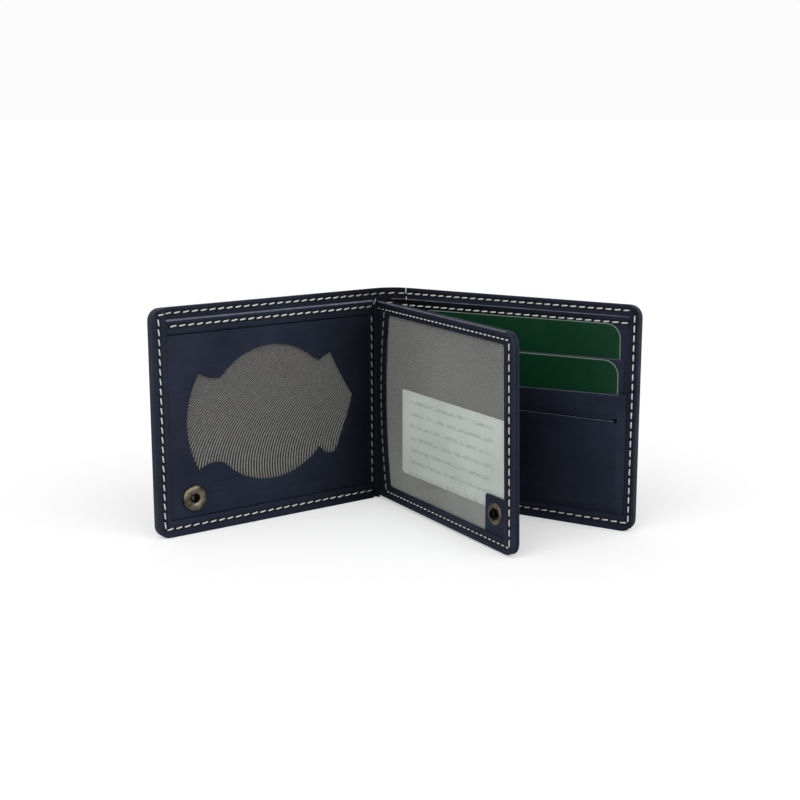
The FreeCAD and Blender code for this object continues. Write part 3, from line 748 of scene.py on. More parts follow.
def turn_ring(profile, foot):
    """Ring or stud turned from its half profile of radius and rise, on the snap's line."""
    piece = start_piece()
    points = [piece.verts.new((SNAP_REACH + radius, SNAP_HEIGHT, foot + rise)) for radius, rise in profile]
    chain = [piece.edges.new(pair) for pair in zip(points, points[1:] + points[:1])]
    bmesh.ops.spin(piece, geom=points + chain, cent=(SNAP_REACH, SNAP_HEIGHT, 0), axis=(0, 0, 1),
                   angle=2 * math.pi, steps=RING_STEPS, use_merge=True, use_duplicate=False)
    bmesh.ops.remove_doubles(piece, verts=piece.verts, dist=0.0005)
    bmesh.ops.recalc_face_normals(piece, faces=piece.faces)
    return piece


def metal_material(name, deep, light, gloss):
    """Antiqued metal: dark patina in patches, brighter where it is rubbed, with fine turning marks."""
    material, tree, shader = start_material(name)
    where = object_place(tree)
    patina = cloud(tree, where, scale=420.0, detail=5.0)
    fine = cloud(tree, where, scale=5200.0, detail=2.0)
    set_inputs(tree, shader, {
        "Base Color": mix_tones(tree, spread(tree, patina, span=(0.36, 0.64)), deep, light),
        "Roughness": spread(tree, fine, to=(gloss - 0.08, gloss + 0.12)),
        "Normal": relief(tree, fine, strength=0.12, depth=0.00005),
        "Metallic": 1.0})
    return material


antique_brass = metal_material("antique_brass", (0.072, 0.060, 0.041, 1), (0.225, 0.197, 0.142, 1), gloss=0.36)
# near-black metal that stands in for the shade inside the snaps' holes
hole_shade_brass = metal_material("hole_shade_brass", (0.006, 0.005, 0.004, 1), (0.020, 0.016, 0.011, 1), gloss=0.42)
spring_steel = metal_material("spring_steel", (0.03, 0.03, 0.03, 1), (0.12, 0.12, 0.12, 1), gloss=0.30)


def paint_hole_shade(piece, radius, top):
    """Paint the faces inside a radius of the snap's line and below a level near black, as the shade inside the
    snap's hole.
    """
    middle = Vector((SNAP_REACH, SNAP_HEIGHT))
    for face in piece.faces:
        if all((v.co.xy - middle).length < radius and v.co.z < top for v in face.verts):
            face.material_index = 1


socket_ring = turn_ring([
    (1.55, 0.0), (4.85, 0.0), (4.9, 0.35), (4.85, 0.7), (4.68, 1.02), (4.4, 1.28), (4.0, 1.44), (3.5, 1.5),
    (3.0, 1.48), (2.6, 1.42), (2.3, 1.34), (2.1, 1.26), (1.95, 1.2), (1.88, 1.15), (2.25, 1.15), (2.25, 0.65),
    (1.85, 0.65), (1.85, 0.2), (1.55, 0.2)], BADGE_FIELD)
# the bore and the inner collar of the socket are painted near black, as painted shade
paint_hole_shade(socket_ring, SOCKET_DARK_RADIUS, BADGE_FIELD + SOCKET_DARK_RISE)
socket = finish_piece(socket_ring, "snap_socket_ring", badge_page, antique_brass, hole_shade_brass)
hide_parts("snap_socket")
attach(socket, "badge_leaf")
# the spring and the eyelets are given dark metals, as painted shade inside the snaps' holes
for node, metal in (("socket_spring", spring_steel), ("socket_eyelet", hole_shade_brass),
                    ("stud_eyelet", hole_shade_brass)):
    carried = frame["nodes"][node].data.materials
    carried.clear()
    carried.append(metal)

# Badge leaf stitching: waxed off-white thread, a lockstitch of 3.6 mm pitch, pulled down into the hide.
# One seam goes round the leaf through panel and cover, one along the open top and on round the spine.
STITCH_PITCH = 3.6
STITCH_LENGTH = 2.65
STITCH_HALF_WIDTH = 0.285
STITCH_HALF_RISE = 0.24
STITCH_TAPER = 0.45
STITCH_BOW = 0.10
STITCH_SINK = 0.08
HOLE_SIZE = (0.44, 0.40, 0.12)
HOLE_SINK = 0.11
SEAM_END = 0.2
OUTSIDE_SPINE_ANGLES = (8.55, 25.65)
BADGE_SLANT = math.radians(-8)
BADGE_SEAM_START = 0.3

single = bmesh.new()
bmesh.ops.create_uvsphere(single, u_segments=8, v_segments=6, radius=1.0)
bmesh.ops.rotate(single, verts=single.verts, cent=(0, 0, 0), matrix=Matrix.Rotation(math.pi / 2, 3, "Y"))
bmesh.ops.scale(single, verts=single.verts, vec=(STITCH_TAPER, STITCH_HALF_WIDTH, STITCH_HALF_RISE))
along_thread = single.loops.layers.uv.new("thread")
for v in single.verts:
    v.co.x += math.copysign(STITCH_LENGTH / 2 - STITCH_TAPER, v.co.x) if abs(v.co.x) > 0.01 else 0
    v.co.z -= STITCH_BOW * (v.co.x / STITCH_LENGTH * 2) ** 2
for face in single.faces:
    for loop in face.loops:
        loop[along_thread].uv = (loop.vert.co.x, math.atan2(loop.vert.co.z, loop.vert.co.y))
stitch_shape = keep_shape(single, "single_stitch")

# needle holes: near-black plugs, sunk a little, paint the shade inside each hole; the slot's walls take the same
# painted shade
painted_hole_shade = lining_material("hole_shade_hide", deep=(0.0012, 0.0013, 0.0020, 1), light=(0.0030, 0.0033, 0.0048, 1))
hole = bmesh.new()
bmesh.ops.create_uvsphere(hole, u_segments=8, v_segments=4, radius=1.0)
bmesh.ops.scale(hole, verts=hole.verts, vec=HOLE_SIZE)
for face in hole.faces:
    face.material_index = 1
hole_shape = keep_shape(hole, "needle_hole")


def thread_material(name, hollow, crown, soil=(0.40, 0.39, 0.38, 1)):
    """Waxed twisted thread, soiled in places, with painted shade towards the fold."""
    material, tree, shader = start_material(name)
    apart = split_place(tree, add_node(tree, "ShaderNodeUVMap", {}, uv_map="thread").outputs[0])
    climb = reckon(tree, "MULTIPLY_ADD", apart[X], 9.0, apart[Y])
    strand = spread(tree, reckon(tree, "SINE", climb), span=(-1.0, 1.0))
    soiled = spread(tree, cloud(tree, object_place(tree), scale=180.0, detail=3.0),
                    span=(0.4, 0.75), to=(0.0, 0.3))
    shown = mix_tones(tree, soiled, mix_tones(tree, strand, hollow, crown), soil)
    shaded = place_group(tree, fold_shade, Fold=folds["badge_leaf_fold"],
                         Dark_At=-0.006, Plain_From=0.018)["Plain"]
    set_inputs(tree, shader, {"Base Color": mix_tones(tree, 1.0, shown, shaded, way="MULTIPLY"),
                              "Normal": relief(tree, strand, strength=0.5, depth=0.0001),
                              "Roughness": 0.6, "Sheen Weight": 0.15})
    return material


off_white = thread_material("off_white_thread", hollow=(0.62, 0.60, 0.57, 1), crown=(0.90, 0.89, 0.86, 1))


def sew_one(piece, place, shape=stitch_shape):
    """One stitch, or one needle hole, at a place in the page."""
    before = len(piece.verts)
    piece.from_mesh(shape)
    piece.verts.ensure_lookup_table()
    bmesh.ops.transform(piece, matrix=place, verts=piece.verts[before:])


def sew_bar(piece, spot, angle, axis="Z", size=(1, 1, 1)):
    """Single bar stitch that ties off a seam, turned about an axis."""
    turned = Matrix.Rotation(math.radians(angle), 4, axis)
    sew_one(piece, Matrix.Translation(spot) @ turned @ Matrix.Diagonal((*size, 1)))


def sew_row(piece, start, end, line, level, upright=False, slant=0.0, pitch=STITCH_PITCH, facing=1, fill=1.0):
    """Row of stitches on a face, that fills the run from start to end, with a needle hole between each two."""
    count = max(1, round((end - start) / pitch))
    step = (end - start) / count
    way = Matrix.Rotation(math.pi / 2 if upright else 0, 4, "Z")
    drawn = Matrix.Diagonal((step / STITCH_PITCH * fill, fill, fill, 1))
    for number in range(count):
        for shape, steps, lean, sink in ((stitch_shape, number + 0.5, slant, STITCH_SINK),
                                         (hole_shape, number + 1, 0, STITCH_SINK + HOLE_SINK)):
            along = start + steps * step
            spot = (line, along) if upright else (along, line)
            sewn = Matrix.Translation((*spot, level - sink * facing)) @ way @ Matrix.Rotation(lean, 4, "Z")
            sew_one(piece, sewn @ drawn, shape)


def sew_spine(piece, start, outside, level, angles, slant, facing=1):
    """Stitches of the top seam where it goes on round the spine."""
    centre = Matrix.Translation((start, MOUTH_SEAM, outside + SPINE_RADIUS))
    drop = Matrix.Translation((0, 0, level - STITCH_SINK * facing - outside - SPINE_RADIUS))
    for angle in angles:
        bend = Matrix.Rotation(math.radians(angle), 4, "Y")
        sew_one(piece, centre @ bend @ drop @ Matrix.Rotation(slant, 4, "Z"))


def sew_leaf(piece, start, foot_start, side_seam, levels, mouth_angles, slant, side_slant):
    """Seam round a leaf, as it shows on its face, on its outside and round its half of the spine."""
    outside, _, mouth, front = levels
    sew_row(piece, foot_start, side_seam - SEAM_END, FOOT_SEAM, front, slant=slant)
    sew_row(piece, FOOT_SEAM, MOUTH_SEAM - 1.0, side_seam, front, upright=True, slant=side_slant)
    for line in (MOUTH_SEAM, FOOT_SEAM):
        sew_row(piece, start, side_seam - SEAM_END, line, outside, slant=slant, facing=-1)
    sew_row(piece, FOOT_SEAM, MOUTH_SEAM - SEAM_END, side_seam, outside, upright=True, slant=side_slant, facing=-1)
    sew_spine(piece, start, outside, mouth, mouth_angles, slant)
    sew_spine(piece, start, outside, outside, OUTSIDE_SPINE_ANGLES, slant, facing=-1)


badge_thread = bmesh.new()
sew_leaf(badge_thread, BADGE_COVER_START, foot_start=BADGE_SEAM_START, side_seam=BADGE_SIDE_SEAM,
         levels=BADGE_LEVELS, mouth_angles=(11.4, 33.6), slant=BADGE_SLANT, side_slant=BADGE_SLANT)
for start, end, line, level in ((BADGE_SEAM_START, BADGE_STRIP - 1.2, PANEL_TOP_SEAM, BADGE_FACE),
                                (BADGE_COVER_START, BADGE_STRIP - 0.3, MOUTH_SEAM, BADGE_MOUTH),
                                (BADGE_STRIP + 0.1, BADGE_SIDE_SEAM + 0.4, MOUTH_SEAM, BADGE_FACE)):
    sew_row(badge_thread, start, end, line, level, slant=BADGE_SLANT)
sew_row(badge_thread, FOOT_STRIP, PANEL_BAND - 0.3, PANEL_FOLD_SEAM, BADGE_FACE + STITCH_SINK, upright=True,
        slant=BADGE_SLANT)
sew_bar(badge_thread, spot=(-0.45, 80.2, -0.85), angle=118)
badge_stitching = finish_piece(badge_thread, "badge_leaf_thread", badge_page, off_white, painted_hole_shade)
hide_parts("badge_stitching")
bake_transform(badge_stitching, "badge_leaf", "id_flap", *badge_spine)

# Flap hinge: a narrow strip of hide that turns from the badge panel's folded edge into the flap.
# It is sewn under both, and works as the flap's hinge.
FLAP_TURN = math.radians(-58.8)
FLAP_START = 0.1
FLAP_WIDTH = 93.0
FLAP_LOW = 1.6
FLAP_TOP = 79.2
FLAP_FACE = -1.0
FRAME_BACK = -1.9
HINGE_LOW = 0.4
HINGE_TURN = math.radians(95.7)
HINGE_STEPS = 16
HINGE_SEAM = 4.6
HINGE_ROLL = 30.0
HINGE_ROLL_FLAT = 8.0
HINGE_ROLL_CURVE = 15.4
HINGE_ROLL_TILT = 1.3
HINGE_ROLL_DEPTH = 1.9
END_LEAN = 1.2
TOP_RISE = 1.4
TOP_FALL = 0.8
FOOT_FALL = 1.2
flap_page = page_place(folds["badge_leaf_fold"], FLAP_TURN, 1)


def hang_flap(piece):
    """Let the soft flap hang: its outer end sags, its top meets the panel's, and its hinge side rolls in."""
    for v in piece.verts:
        out = v.co.x / FLAP_WIDTH
        up = (v.co.y - FLAP_LOW) / (FLAP_TOP - FLAP_LOW)
        off_middle = up - 0.5
        rolled = min(v.co.x / HINGE_SEAM, 1.0, (HINGE_ROLL - v.co.x) / (HINGE_ROLL - HINGE_ROLL_FLAT))
        roll = HINGE_ROLL_CURVE * off_middle ** 2 - HINGE_ROLL_TILT * off_middle - HINGE_ROLL_DEPTH
        v.co.x += out * END_LEAN * (1 - 2 * up) + max(0.0, rolled) * roll
        v.co.y += up * (TOP_RISE - TOP_FALL * out) - FOOT_FALL * out * (1 - up)


piece = start_piece()
cut_blank(piece, -FLAP_START, FLAP_START, HINGE_LOW, FLAP_TOP)
thicken(piece, FRAME_BACK, FLAP_FACE)
bmesh.ops.spin(piece, geom=inner_end(piece, -FLAP_START), cent=(-FLAP_START, 0, 0), axis=(0, 1, 0),
               angle=HINGE_TURN, steps=HINGE_STEPS, use_duplicate=False)
bmesh.ops.recalc_face_normals(piece, faces=piece.faces)
hang_flap(piece)
flap_hinge = finish_piece(piece, "flap_hinge_leather", flap_page, navy_hide)
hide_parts("flap_hinge")
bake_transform(flap_hinge, "badge_leaf", "id_flap", badge_page @ Vector((0.1, 40, -1.5)),
         flap_page @ Vector((0.1, 40, -1.5)))

# Flap frame: hide cut as a frame round the flap's window, with rolled edges and one seam all round.
# A welt of the same hide holds its layers apart at three sides.
FLAP_CORNER = 5.0
FLAP_INNER_CORNER = 0.2
FLAP_ROUNDING = 0.5
FRAME_SCORES = range(10, 76, 6)
WINDOW = (7.2, 87.3, 6.8, 74.7)
SEAM_LEFT = HINGE_SEAM
SEAM_RIGHT = 90.2
SEAM_LOW = 4.4
SEAM_HIGH = 76.4


def cut_flap(piece):
    """Blank in the flap's outline."""
    cut_blank(piece, FLAP_START, FLAP_WIDTH, FLAP_LOW, FLAP_TOP, outer=FLAP_CORNER, inner=FLAP_INNER_CORNER)


def flap_channels(piece, level, facing=1):
    """Channels of the seam that goes round the flap."""
    for line in (SEAM_LOW, SEAM_HIGH):
        seam_channel(piece, SEAM_LEFT, SEAM_RIGHT, line, level, facing=facing)
    for line in (SEAM_LEFT, SEAM_RIGHT):
        seam_channel(piece, SEAM_LOW, SEAM_HIGH, line, level, upright=True, facing=facing)


piece = start_piece()
cut_flap(piece)
cut_blank(piece, *WINDOW, outer=1.0, inner=1.0)
bmesh.ops.delete(piece, geom=piece.faces[:], context="FACES_ONLY")
bmesh.ops.bridge_loops(piece, edges=piece.edges[:])
thicken(piece, FRAME_BACK, FLAP_FACE)
flap_channels(piece, FLAP_FACE)
# the frame's rounded top edge gets a painted highlight
round_edges(piece, FLAP_ROUNDING, 3,
            lambda e: lies(e, Z, FLAP_FACE - 0.05) and lies(e, Y, FLAP_TOP - 0.05), mark=0.8)
round_edges(piece, FLAP_ROUNDING, 3, lambda e: lies(e, Z, FLAP_FACE - 0.05) and all(
    v.co.y < FLAP_TOP - 0.02 or v.co.x > FLAP_WIDTH - FLAP_CORNER - 0.1 for v in e.verts), mark=-0.15)
for height in FRAME_SCORES:
    score(piece, Y, height)
hang_flap(piece)
flap_frame = finish_piece(piece, "flap_frame_leather", flap_page, navy_hide)
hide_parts("flap_frame")
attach(flap_frame, "id_flap")


def cut_welt(hinge_side, outer_side, foot_side, back, front):
    """Strip along three sides of the flap, open at the top."""
    welt = start_piece()
    cut_blank(welt, FLAP_START, FLAP_WIDTH - 0.05, FLAP_LOW + 0.05, FLAP_TOP - 0.1, outer=FLAP_CORNER,
              inner=FLAP_INNER_CORNER)
    end, foot = FLAP_WIDTH - outer_side, FLAP_LOW + foot_side
    for axis, value in ((X, hinge_side), (X, end), (Y, foot)):
        score(welt, axis, value)
    middles = {f: f.calc_center_median() for f in welt.faces}
    bmesh.ops.delete(welt, geom=[f for f, spot in middles.items() if hinge_side < spot.x < end and spot.y > foot],
                     context="FACES")
    thicken(welt, back, front)
    return welt


piece = cut_welt(hinge_side=3.4, outer_side=4.8, foot_side=4.4, back=-2.54, front=-2.16)
join_pieces(piece, cut_welt(hinge_side=0.8, outer_side=0.8, foot_side=0.8, back=-2.79, front=-1.91))
hang_flap(piece)
flap_welt = finish_piece(piece, "flap_welt_leather", flap_page, navy_hide)
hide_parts("flap_welt")
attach(flap_welt, "id_flap")

# Flap window: a sheet of clear soft vinyl, sewn in behind the frame by the flap's own seam.
# It isn't quite flat, and it is a little cloudy, most of all low down.
VINYL = (2.5, 90.1, 4.2, 77.2)
VINYL_LEVEL = -2.0

clear_vinyl, tree, shader = start_material("clear_vinyl")
where = object_place(tree)
cloudy = cloud(tree, where, scale=40.0, detail=4.0)
cloudier_low = spread(tree, split_place(tree, where)[Z], span=(0.006, 0.060), to=(0.12, 0.0))
set_inputs(tree, shader, {
    "Alpha": reckon(tree, "ADD", spread(tree, cloudy, span=(0.3, 0.7), to=(0.22, 0.38)), cloudier_low),
    "Roughness": spread(tree, cloudy, to=(0.10, 0.26)),
    "Base Color": (0.54, 0.56, 0.54, 1), "Coat Weight": 0.6, "Coat Roughness": 0.08})
piece = lay_sheet(*VINYL, VINYL_LEVEL, columns=30, rows=26, swell=0.07, across=(0.11, 0.6), up=(0.09, 1.1))
hang_flap(piece)
flap_window = finish_piece(piece, "flap_window_vinyl", flap_page, clear_vinyl)
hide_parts("flap_window")
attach(flap_window, "id_flap")

# Flap backing and back: finer grey ribbed cloth behind the window, with its ribs level.
# It is glued to the sheet of navy hide that closes the flap's back, and both are sewn in with the frame.
FLAP_BACK = -3.6
FLAP_BACK_FRONT = -2.8
CLOTH_LEVEL = -2.68
CLOTH_INSET = 1.0
CLOTH_TOP_INSET = 0.6

pale_ribs = ribbed_material(
    "grey_flap_cloth", FLAP_TURN, deep=(0.096, 0.097, 0.091, 1), light=(0.196, 0.197, 0.184, 1),
    Lean=(0.0, 0.0, 8600.0), Bow=0.0, Bow_Height=0.0, Bend=5.0)
piece = start_piece()
cut_blank(piece, CLOTH_INSET, FLAP_WIDTH - CLOTH_INSET, FLAP_LOW + CLOTH_INSET, FLAP_TOP - CLOTH_TOP_INSET,
          outer=FLAP_CORNER - CLOTH_INSET)
bmesh.ops.translate(piece, verts=piece.verts, vec=(0, 0, CLOTH_LEVEL))
hang_flap(piece)
flap_backing = finish_piece(piece, "flap_backing_cloth", flap_page, pale_ribs)
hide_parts("flap_backing")
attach(flap_backing, "id_flap")

piece = start_piece()
cut_flap(piece)
thicken(piece, FLAP_BACK, FLAP_BACK_FRONT)
flap_channels(piece, FLAP_BACK, facing=-1)
round_edges(piece, FLAP_ROUNDING, 3, lambda e: lies(e, Z, high=FLAP_BACK + 0.05), mark=-0.3)
hang_flap(piece)
flap_back = finish_piece(piece, "flap_back_leather", flap_page, navy_hide)
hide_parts("flap_back")
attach(flap_back, "id_flap")

# Identity slip: a paper slip that slides in behind the window from the flap's open top.
# It is bare but for faint rubbed rules.
SLIP = (17.2, 86.6, 14.6, 47.9)
SLIP_LEVELS = (-2.45, -2.25)
RULE_WAVES = 1322.8
PAPER_DEEP = (0.84, 0.92, 0.84, 1)
PAPER_LIGHT = (0.92, 0.97, 0.92, 1)
RULE_TONE = (0.30, 0.36, 0.33, 1)

slip_paper, tree, shader = start_material("slip_paper")
page = page_coordinates(tree, folds["badge_leaf_fold"], FLAP_TURN)
apart = split_place(tree, page)
ruled = spread(tree, reckon(tree, "SINE", reckon(tree, "MULTIPLY", apart[Z], RULE_WAVES)),
               span=(0.35, 0.98), to=(0.0, 0.50))
drawn_out = reckon_place(tree, "MULTIPLY", page, (330.0, 0.0, 650.0))["Vector"]
faded = spread(tree, cloud(tree, drawn_out, scale=1.0, detail=2.0), span=(0.38, 0.56))
margins = reckon(tree, "MULTIPLY", spread(tree, apart[X], span=(0.0215, 0.0245)),
                 spread(tree, apart[X], span=(0.081, 0.077)))
rules = reckon(tree, "MULTIPLY", reckon(tree, "MULTIPLY", ruled, faded), margins)
fibre = cloud(tree, object_place(tree), scale=700.0, detail=4.0)
set_inputs(tree, shader, {
    "Base Color": mix_tones(tree, rules, mix_tones(tree, fibre, PAPER_DEEP, PAPER_LIGHT), RULE_TONE),
    "Roughness": 0.8})
piece = start_piece()
cut_blank(piece, *SLIP, outer=0.4, inner=1.0)
thicken(piece, *SLIP_LEVELS)
id_slip = finish_piece(piece, "id_slip_paper", flap_page, slip_paper)
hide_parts("id_slip")
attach(id_slip, "id_slip")

# Flap tab and stud: a small tab of hide in the window's corner, sewn in under the frame, carries the stud.
# The stud is turned from brass, with a bulbed hollow head that clicks past the socket's spring.
TAB = (75.7, 88.8, 5.2, 20.0)
TAB_FACE = -1.4
TAB_ROUNDING = 0.22
STUD_DARK_RADIUS = 2.4
STUD_DARK_TOP = 2.0

piece = start_piece()
cut_blank(piece, *TAB, inner=1.2)
thicken(piece, FRAME_BACK, TAB_FACE)
# the tab's rounded edges are paled a little, as a painted highlight
round_edges(piece, TAB_ROUNDING, 2, mark=0.3)
flap_tab = finish_piece(piece, "flap_tab_leather", flap_page, navy_hide)
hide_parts("flap_tab")
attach(flap_tab, "id_flap")
turned_stud = turn_ring([
    (0.95, 0.0), (4.1, 0.0), (4.1, 0.25), (4.02, 0.42), (3.8, 0.55), (3.5, 0.6), (2.9, 0.58), (2.3, 0.5),
    (1.6, 0.5), (1.3, 0.6), (1.3, 0.92), (1.5, 1.06), (1.65, 1.22), (1.65, 1.45), (1.56, 1.6), (1.4, 1.68),
    (1.2, 1.68), (1.08, 1.6), (1.02, 1.42), (1.02, 0.8), (0.0, 0.75), (0.0, 0.6), (0.95, 0.6)], TAB_FACE)
# the stud's head is painted near black, as painted shade, so that it shows as a dark hole
paint_hole_shade(turned_stud, STUD_DARK_RADIUS, STUD_DARK_TOP)
stud = finish_piece(turned_stud, "snap_stud_brass", flap_page, antique_brass, hole_shade_brass)
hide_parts("snap_stud")
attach(stud, "id_flap")

# Flap stitching: the same thread, one seam round the flap that shows on its face and on its back.
# Its stitches are closer along the foot and the top, and the column next to the hinge has darker thread as painted
# shade.
FLAP_PITCH = 2.7
FOOT_FILL = 0.82
TOP_FILL = 0.88
TOP_ROW_START = -0.4
SHADE_SLOT = 2

# darker thread tones paint the fold's shade on the hinge-side column
fold_shaded_thread = thread_material("fold_shaded_thread", hollow=(0.30, 0.29, 0.28, 1), crown=(0.50, 0.49, 0.48, 1))
flap_thread = bmesh.new()
for level, facing in ((FLAP_FACE, 1), (FLAP_BACK, -1)):
    sew_row(flap_thread, SEAM_LEFT, SEAM_RIGHT, SEAM_LOW, level, pitch=FLAP_PITCH, facing=facing, fill=FOOT_FILL)
    sew_row(flap_thread, TOP_ROW_START, SEAM_RIGHT, SEAM_HIGH, level, pitch=FLAP_PITCH, facing=facing,
            fill=TOP_FILL)
    sew_row(flap_thread, SEAM_LOW, SEAM_HIGH - 0.4, SEAM_RIGHT, level, upright=True, facing=facing)
    before = len(flap_thread.faces)
    sew_row(flap_thread, SEAM_LOW, SEAM_HIGH - 0.4, SEAM_LEFT, level, upright=True, facing=facing)
    for face in flap_thread.faces[before:]:
        face.material_index = face.material_index or SHADE_SLOT
sew_bar(flap_thread, spot=(6.3, FLAP_TOP + 0.02, -2.3), angle=90, axis="Y")
hang_flap(flap_thread)
flap_stitching = finish_piece(flap_thread, "flap_thread", flap_page, off_white, painted_hole_shade, fold_shaded_thread)
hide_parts("flap_stitching")
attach(flap_stitching, "id_flap")

# Card cover and its lining: the right half of the outer strip of navy hide and the far half of the spine.
# They are cut, turned in, lined and sewn as the left half is.
CARD_TURN = math.radians(-31.5)
CARD_REACH = 108.4
CARD_STRIP = 104.7
CARD_SIDE_SEAM = 106.5
CARD_COVER_START = 8.8581
CARD_OUTSIDE = -6.3
CARD_INSIDE = -4.9
CARD_MOUTH = -4.5
CARD_FACE = -3.1
CARD_LEVELS = (CARD_OUTSIDE, CARD_INSIDE, CARD_MOUTH, CARD_FACE)
card_page = page_place(folds["card_leaf_fold"], CARD_TURN, 1)
card_spine = spine_ends(card_page, CARD_COVER_START, CARD_OUTSIDE)

card_cover = finish_piece(
    wrap_cover(CARD_COVER_START, CARD_COVER_START, CARD_STRIP, CARD_REACH, CARD_SIDE_SEAM, CARD_LEVELS),
    "card_cover_leather", card_page, navy_hide)
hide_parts("card_cover", "card_cover_hem")
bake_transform(card_cover, "card_leaf", "id_flap", *card_spine)
card_lining = finish_piece(line_cover(CARD_COVER_START, CARD_REACH, CARD_OUTSIDE), "card_cover_cloth",
                           card_page, black_lining)
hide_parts("card_cover_lining")
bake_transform(card_lining, "card_leaf", "id_flap", *card_spine)

# Card panel: the navy hide that the card slots are sewn to, folded over along its top, with a painted highlight on
# its rounded top edge.
# It goes on round the spine with the cover, and black lining cloth is glued to its back.
CARD_PANEL_FOOT = 6.0
CARD_PANEL_BACK = -4.2
CARD_PANEL_FACE = -3.5
CARD_CLOTH_LEVEL = -4.3
CARD_PANEL_ROUNDING = 0.3

# painted shadow of the flap: the slots' hide darkens towards the card leaf's fold
navy_slots = hide_material("navy_slot_hide", folds["card_leaf_fold"], dark_at=0.020, plain_from=0.104)
piece = start_piece()
cut_blank(piece, CARD_COVER_START, CARD_STRIP + 0.2, CARD_PANEL_FOOT, PANEL_TOP)
thicken(piece, CARD_PANEL_BACK, CARD_PANEL_FACE)
seam_channel(piece, CARD_COVER_START, CARD_STRIP - 1, PANEL_TOP_SEAM, CARD_PANEL_FACE)
score(piece, X, CARD_COVER_START + 1.0)
# painted highlight along the rounded top edge
round_edges(piece, CARD_PANEL_ROUNDING, 3,
            lambda e: lies(e, Y, PANEL_TOP - 0.05) and off_spine(e, CARD_COVER_START), mark=0.9)
bend_round_spine(piece, inner_end(piece, CARD_COVER_START), CARD_COVER_START, CARD_OUTSIDE)
card_panel = finish_piece(piece, "card_panel_leather", card_page, navy_slots)
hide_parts("card_panel")
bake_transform(card_panel, "card_leaf", "id_flap", *card_spine)
piece = start_piece()
cut_blank(piece, CARD_COVER_START, CARD_STRIP, CARD_PANEL_FOOT, PANEL_TOP_SEAM)
bmesh.ops.translate(piece, verts=piece.verts, vec=(0, 0, CARD_CLOTH_LEVEL))
card_backing = finish_piece(piece, "card_backing_cloth", card_page, black_lining)
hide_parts("card_backing")
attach(card_backing, "card_leaf")

# Card slots: two pockets of thinner hide, one over the other, open along their upper edges.
# The front one has a third slot cut into it, punched round at its ends so that it doesn't tear.
POCKET_BACK = -3.45
POCKET_ROOM_BACK = -3.4
POCKET_MIDDLE = 58.8
POCKET_HALF_WIDTH = 45.8
POCKET_DRAW_SHARES = (0, 0.25, 0.5, 0.75, 1)
MOUTH_BLEND = 4.0
MOUTH_ROUNDING = 0.3
FRONT_LEFT, FRONT_RIGHT, FRONT_FOOT, FRONT_MOUTH = 13.0, 104.6, 6.4, 51.2
FRONT_FACE = -0.95
STRIP_LEFT, STRIP_RIGHT, STRIP_FOOT, STRIP_MOUTH = 14.5, 103.1, 21.8, 64.6
STRIP_FACE = -2.15
SLOT_LINE = 42.2
SLOT_HALF = 0.15
SLOT_ENDS = (16.5, 101.1)
SLOT_PUNCH = 0.85
SLOT_DEPTH = 0.62
SLOT_PATCH = (15.2, 102.4)
SLOT_PATCH_HALF = 3
SLOT_LIP_HIGHLIGHT = 0.7
SLOT_LIP_ROUNDING = 0.32


def mouth_faces(piece, mouth):
    """Faces of a pocket's upper edge."""
    piece.normal_update()
    return [f for f in piece.faces if f.normal.y > 0.9 and lies(f, Y, mouth - 0.01, mouth + 0.01)]


def open_pocket(piece, left, right, front, mouth, depth):
    """Hollow a pocket out from its upper edge."""
    for axis, value in ((X, left), (X, right), (Z, POCKET_ROOM_BACK), (Z, front)):
        score(piece, axis, value, mouth_faces(piece, mouth))
    middles = {f: f.calc_center_median() for f in mouth_faces(piece, mouth)}
    press(piece, [f for f, spot in middles.items() if left < spot.x < right and POCKET_ROOM_BACK < spot.z < front],
          (0, -depth, 0))


def draw_down(piece, front, drop, run, sides):
    """Draw the face of a pocket down to its sewn sides."""
    for axis, value, way in sides:
        for share in POCKET_DRAW_SHARES:
            faces = [f for f in piece.faces if f.normal.z > 0.3 and f.calc_center_median().z > front - 0.1]
            score(piece, axis, value + way * run * share, faces)
            piece.normal_update()
    for v in piece.verts:
        if v.co.z > front - 0.01:
            near = min(min(max((v.co[axis] - value) * way / run, 0), 1) for axis, value, way in sides)
            v.co.z -= drop * (1 - near * near * (3 - 2 * near))


def work_mouth(piece, mouth, lip, rise):
    """Round the lip of a pocket with a painted highlight on the rounding, and let its worn mouth climb a little
    towards the leaf's side.
    """
    round_edges(piece, MOUTH_ROUNDING, 3, lambda e: lies(e, Y, mouth - 0.01) and lies(e, Z, lip)
                and abs(e.verts[0].co.x - e.verts[1].co.x) > 0.3, mark=0.42)
    for v in piece.verts:
        near = min(max((v.co.y - mouth + MOUTH_BLEND) / MOUTH_BLEND, 0), 1)
        v.co.y += rise * near * (v.co.x - POCKET_MIDDLE) / POCKET_HALF_WIDTH


